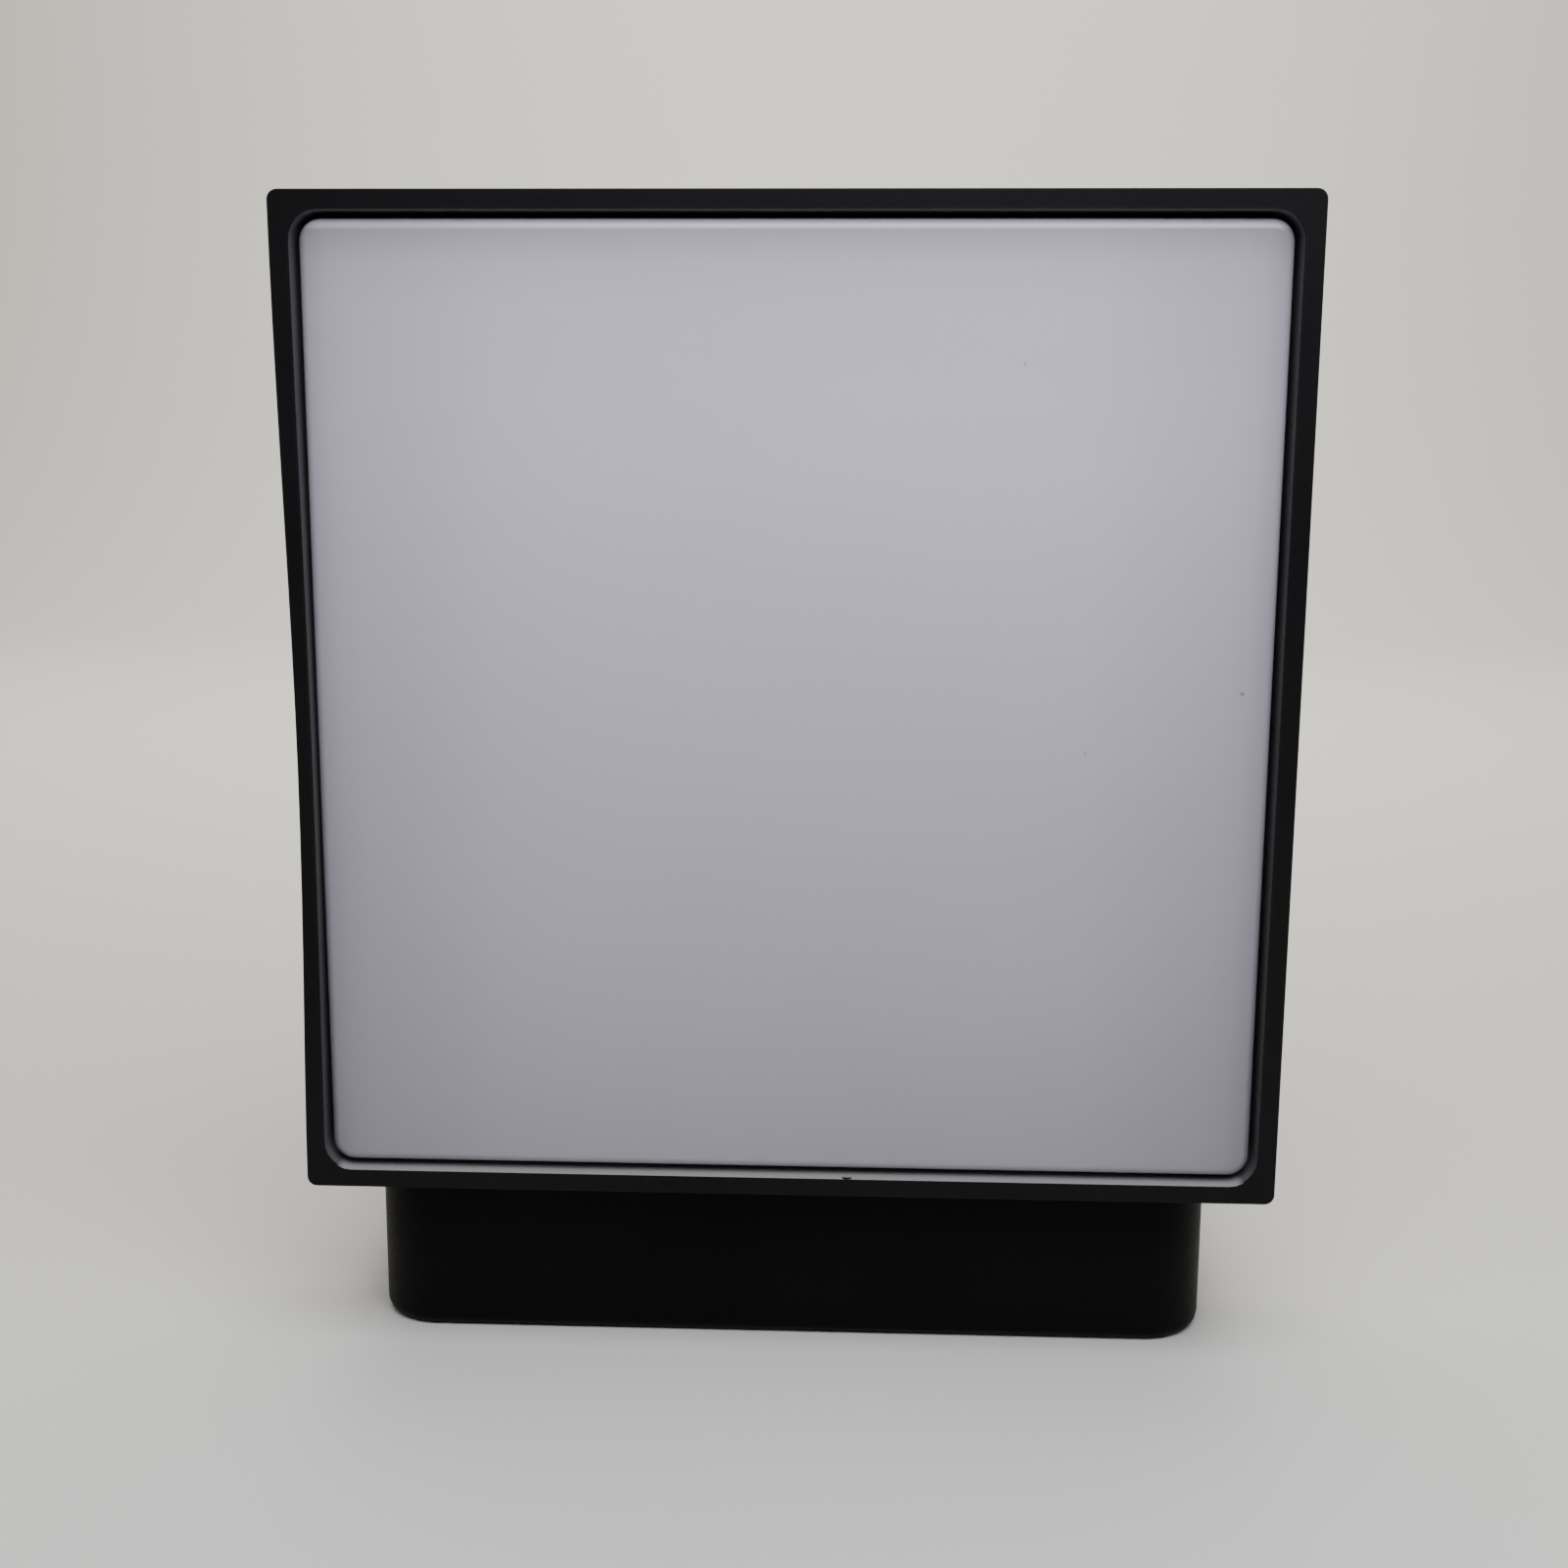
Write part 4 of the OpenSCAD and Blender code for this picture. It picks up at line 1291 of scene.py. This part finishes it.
@dataclass
class Studio:
    """A pale floor and backdrop, soft lights and the camera."""

    wall: str = "#EAE8E2"
    floor_half: float = 3.0
    wall_y: float = 1.4
    focal_mm: float = 41.8
    sensor_mm: float = 36.0
    eye_mm: tuple[float, float, float] = (7.7, -213.7, 89.1)  # from the front rim's lower middle
    down_deg: float = 9.9
    left_deg: float = 2.2
    roll_deg: float = -0.29

    def build(self) -> None:
        """Builds the whole studio."""
        self.sweep()
        self.lights()
        self.camera()

    def sweep(self) -> None:
        """Builds the floor, which curves up into the backdrop."""
        bend, steps = 0.5, 12
        profile = [(-self.floor_half, 0.0)]
        for i in range(steps + 1):
            angle = math.radians(90 * i / steps)
            profile.append((self.wall_y - bend + bend * math.sin(angle), bend * (1 - math.cos(angle))))
        profile.append((self.wall_y, 3.0))
        bm = bmesh.new()
        rows = [
            [bm.verts.new((x, y, z)) for x in (-self.floor_half, self.floor_half)] for y, z in profile
        ]
        for near, far in zip(rows, rows[1:]):
            bm.faces.new((near[0], near[1], far[1], far[0]))
        for face in bm.faces:
            face.smooth = True
        mesh = bpy.data.meshes.new("sweep")
        bm.to_mesh(mesh)
        bm.free()
        sweep = bpy.data.objects.new("sweep", mesh)
        bpy.context.scene.collection.objects.link(sweep)
        paper = PlainMoulding("backdrop_paper", self.wall, self.wall, 0.8, 300, 3, 0.01).build()
        wear(sweep, paper)

    def area(
        self,
        name: str,
        place: Vector,
        target: Vector,
        size: float,
        watts: float,
        colour: str,
    ) -> None:
        """Adds one square soft light.

        Args:
            name: the light's name.
            place: where it is.
            target: the point that it faces.
            size: the length of its side, in metres.
            watts: its power.
            colour: its hex colour.
        """
        data = bpy.data.lights.new(name, "AREA")
        data.size = size
        data.energy = watts
        data.color = linear(colour)[:3]
        light = bpy.data.objects.new(name, data)
        light.visible_camera = False
        light.location = place
        light.rotation_mode = "QUATERNION"
        light.rotation_quaternion = (target - place).to_track_quat("-Z", "Y")
        bpy.context.scene.collection.objects.link(light)

    def lights(self) -> None:
        """Adds a softbox above the face, a light overhead, one on the backdrop and the room's fill."""
        face = Vector((0, -0.044, 0.10))
        self.area("softbox", Vector((0.04, -0.22, 0.33)), face, 0.28, 1.5, "#F4F7FF")
        self.area("overhead", Vector((-0.1, 0.35, 1.0)), Vector((0, 0, 0.08)), 0.8, 2.2, "#FFFDF8")
        self.area("backdrop", Vector((0.0, 0.45, 1.0)), Vector((0, 1.4, 0.35)), 1.0, 18.0, "#FFFCF4")
        world = bpy.data.worlds.new("soft_room")
        world.use_nodes = True
        world.node_tree.nodes.clear()
        sky = add(world.node_tree, "ShaderNodeBackground", {"Color": linear("#E9E9EC"), "Strength": 0.12})
        add(world.node_tree, "ShaderNodeOutputWorld", {"Surface": sky.outputs["Background"]})
        bpy.context.scene.world = world

    def camera(self) -> None:
        """Sets the camera in front of the head, a little above its middle and looking down."""
        low, high, middle = span("head_frame")
        eye = Vector((middle.x, low.y, low.z)) + Vector(self.eye_mm) * MM
        turn, dip, roll = (math.radians(a) for a in (self.left_deg, self.down_deg, self.roll_deg))
        right = Vector((math.cos(turn), math.sin(turn), 0))
        ahead = Vector((-math.sin(turn), math.cos(turn), 0))
        up = Vector((0, 0, 1))
        forward = ahead * math.cos(dip) - up * math.sin(dip)
        over = ahead * math.sin(dip) + up * math.cos(dip)
        right, over = (
            right * math.cos(roll) - over * math.sin(roll),
            right * math.sin(roll) + over * math.cos(roll),
        )
        axes = Matrix((right, over, -forward)).transposed()
        data = bpy.data.cameras.new("camera")
        data.lens, data.sensor_width = self.focal_mm, self.sensor_mm
        data.clip_start, data.clip_end = 0.01, 20
        camera = bpy.data.objects.new("camera", data)
        camera.matrix_world = Matrix.Translation(eye) @ axes.to_4x4()
        bpy.context.scene.collection.objects.link(camera)
        bpy.context.scene.camera = camera


def main() -> None:
    """Builds the light in order and reports each piece."""
    logging.basicConfig(level=logging.INFO, format="%(message)s")
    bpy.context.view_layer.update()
    Studio().build()
    shelf = FinishShelf()
    shelf.stock()
    for assembly in (LightHead(shelf), SolarPanel(shelf), BatteryBase(shelf), Innards(shelf)):
        for piece in assembly.build():
            LOG.info("%s: %s, %d faces", type(assembly).__name__, piece.name, len(piece.data.polygons))


if __name__ == "__main__":
    main()
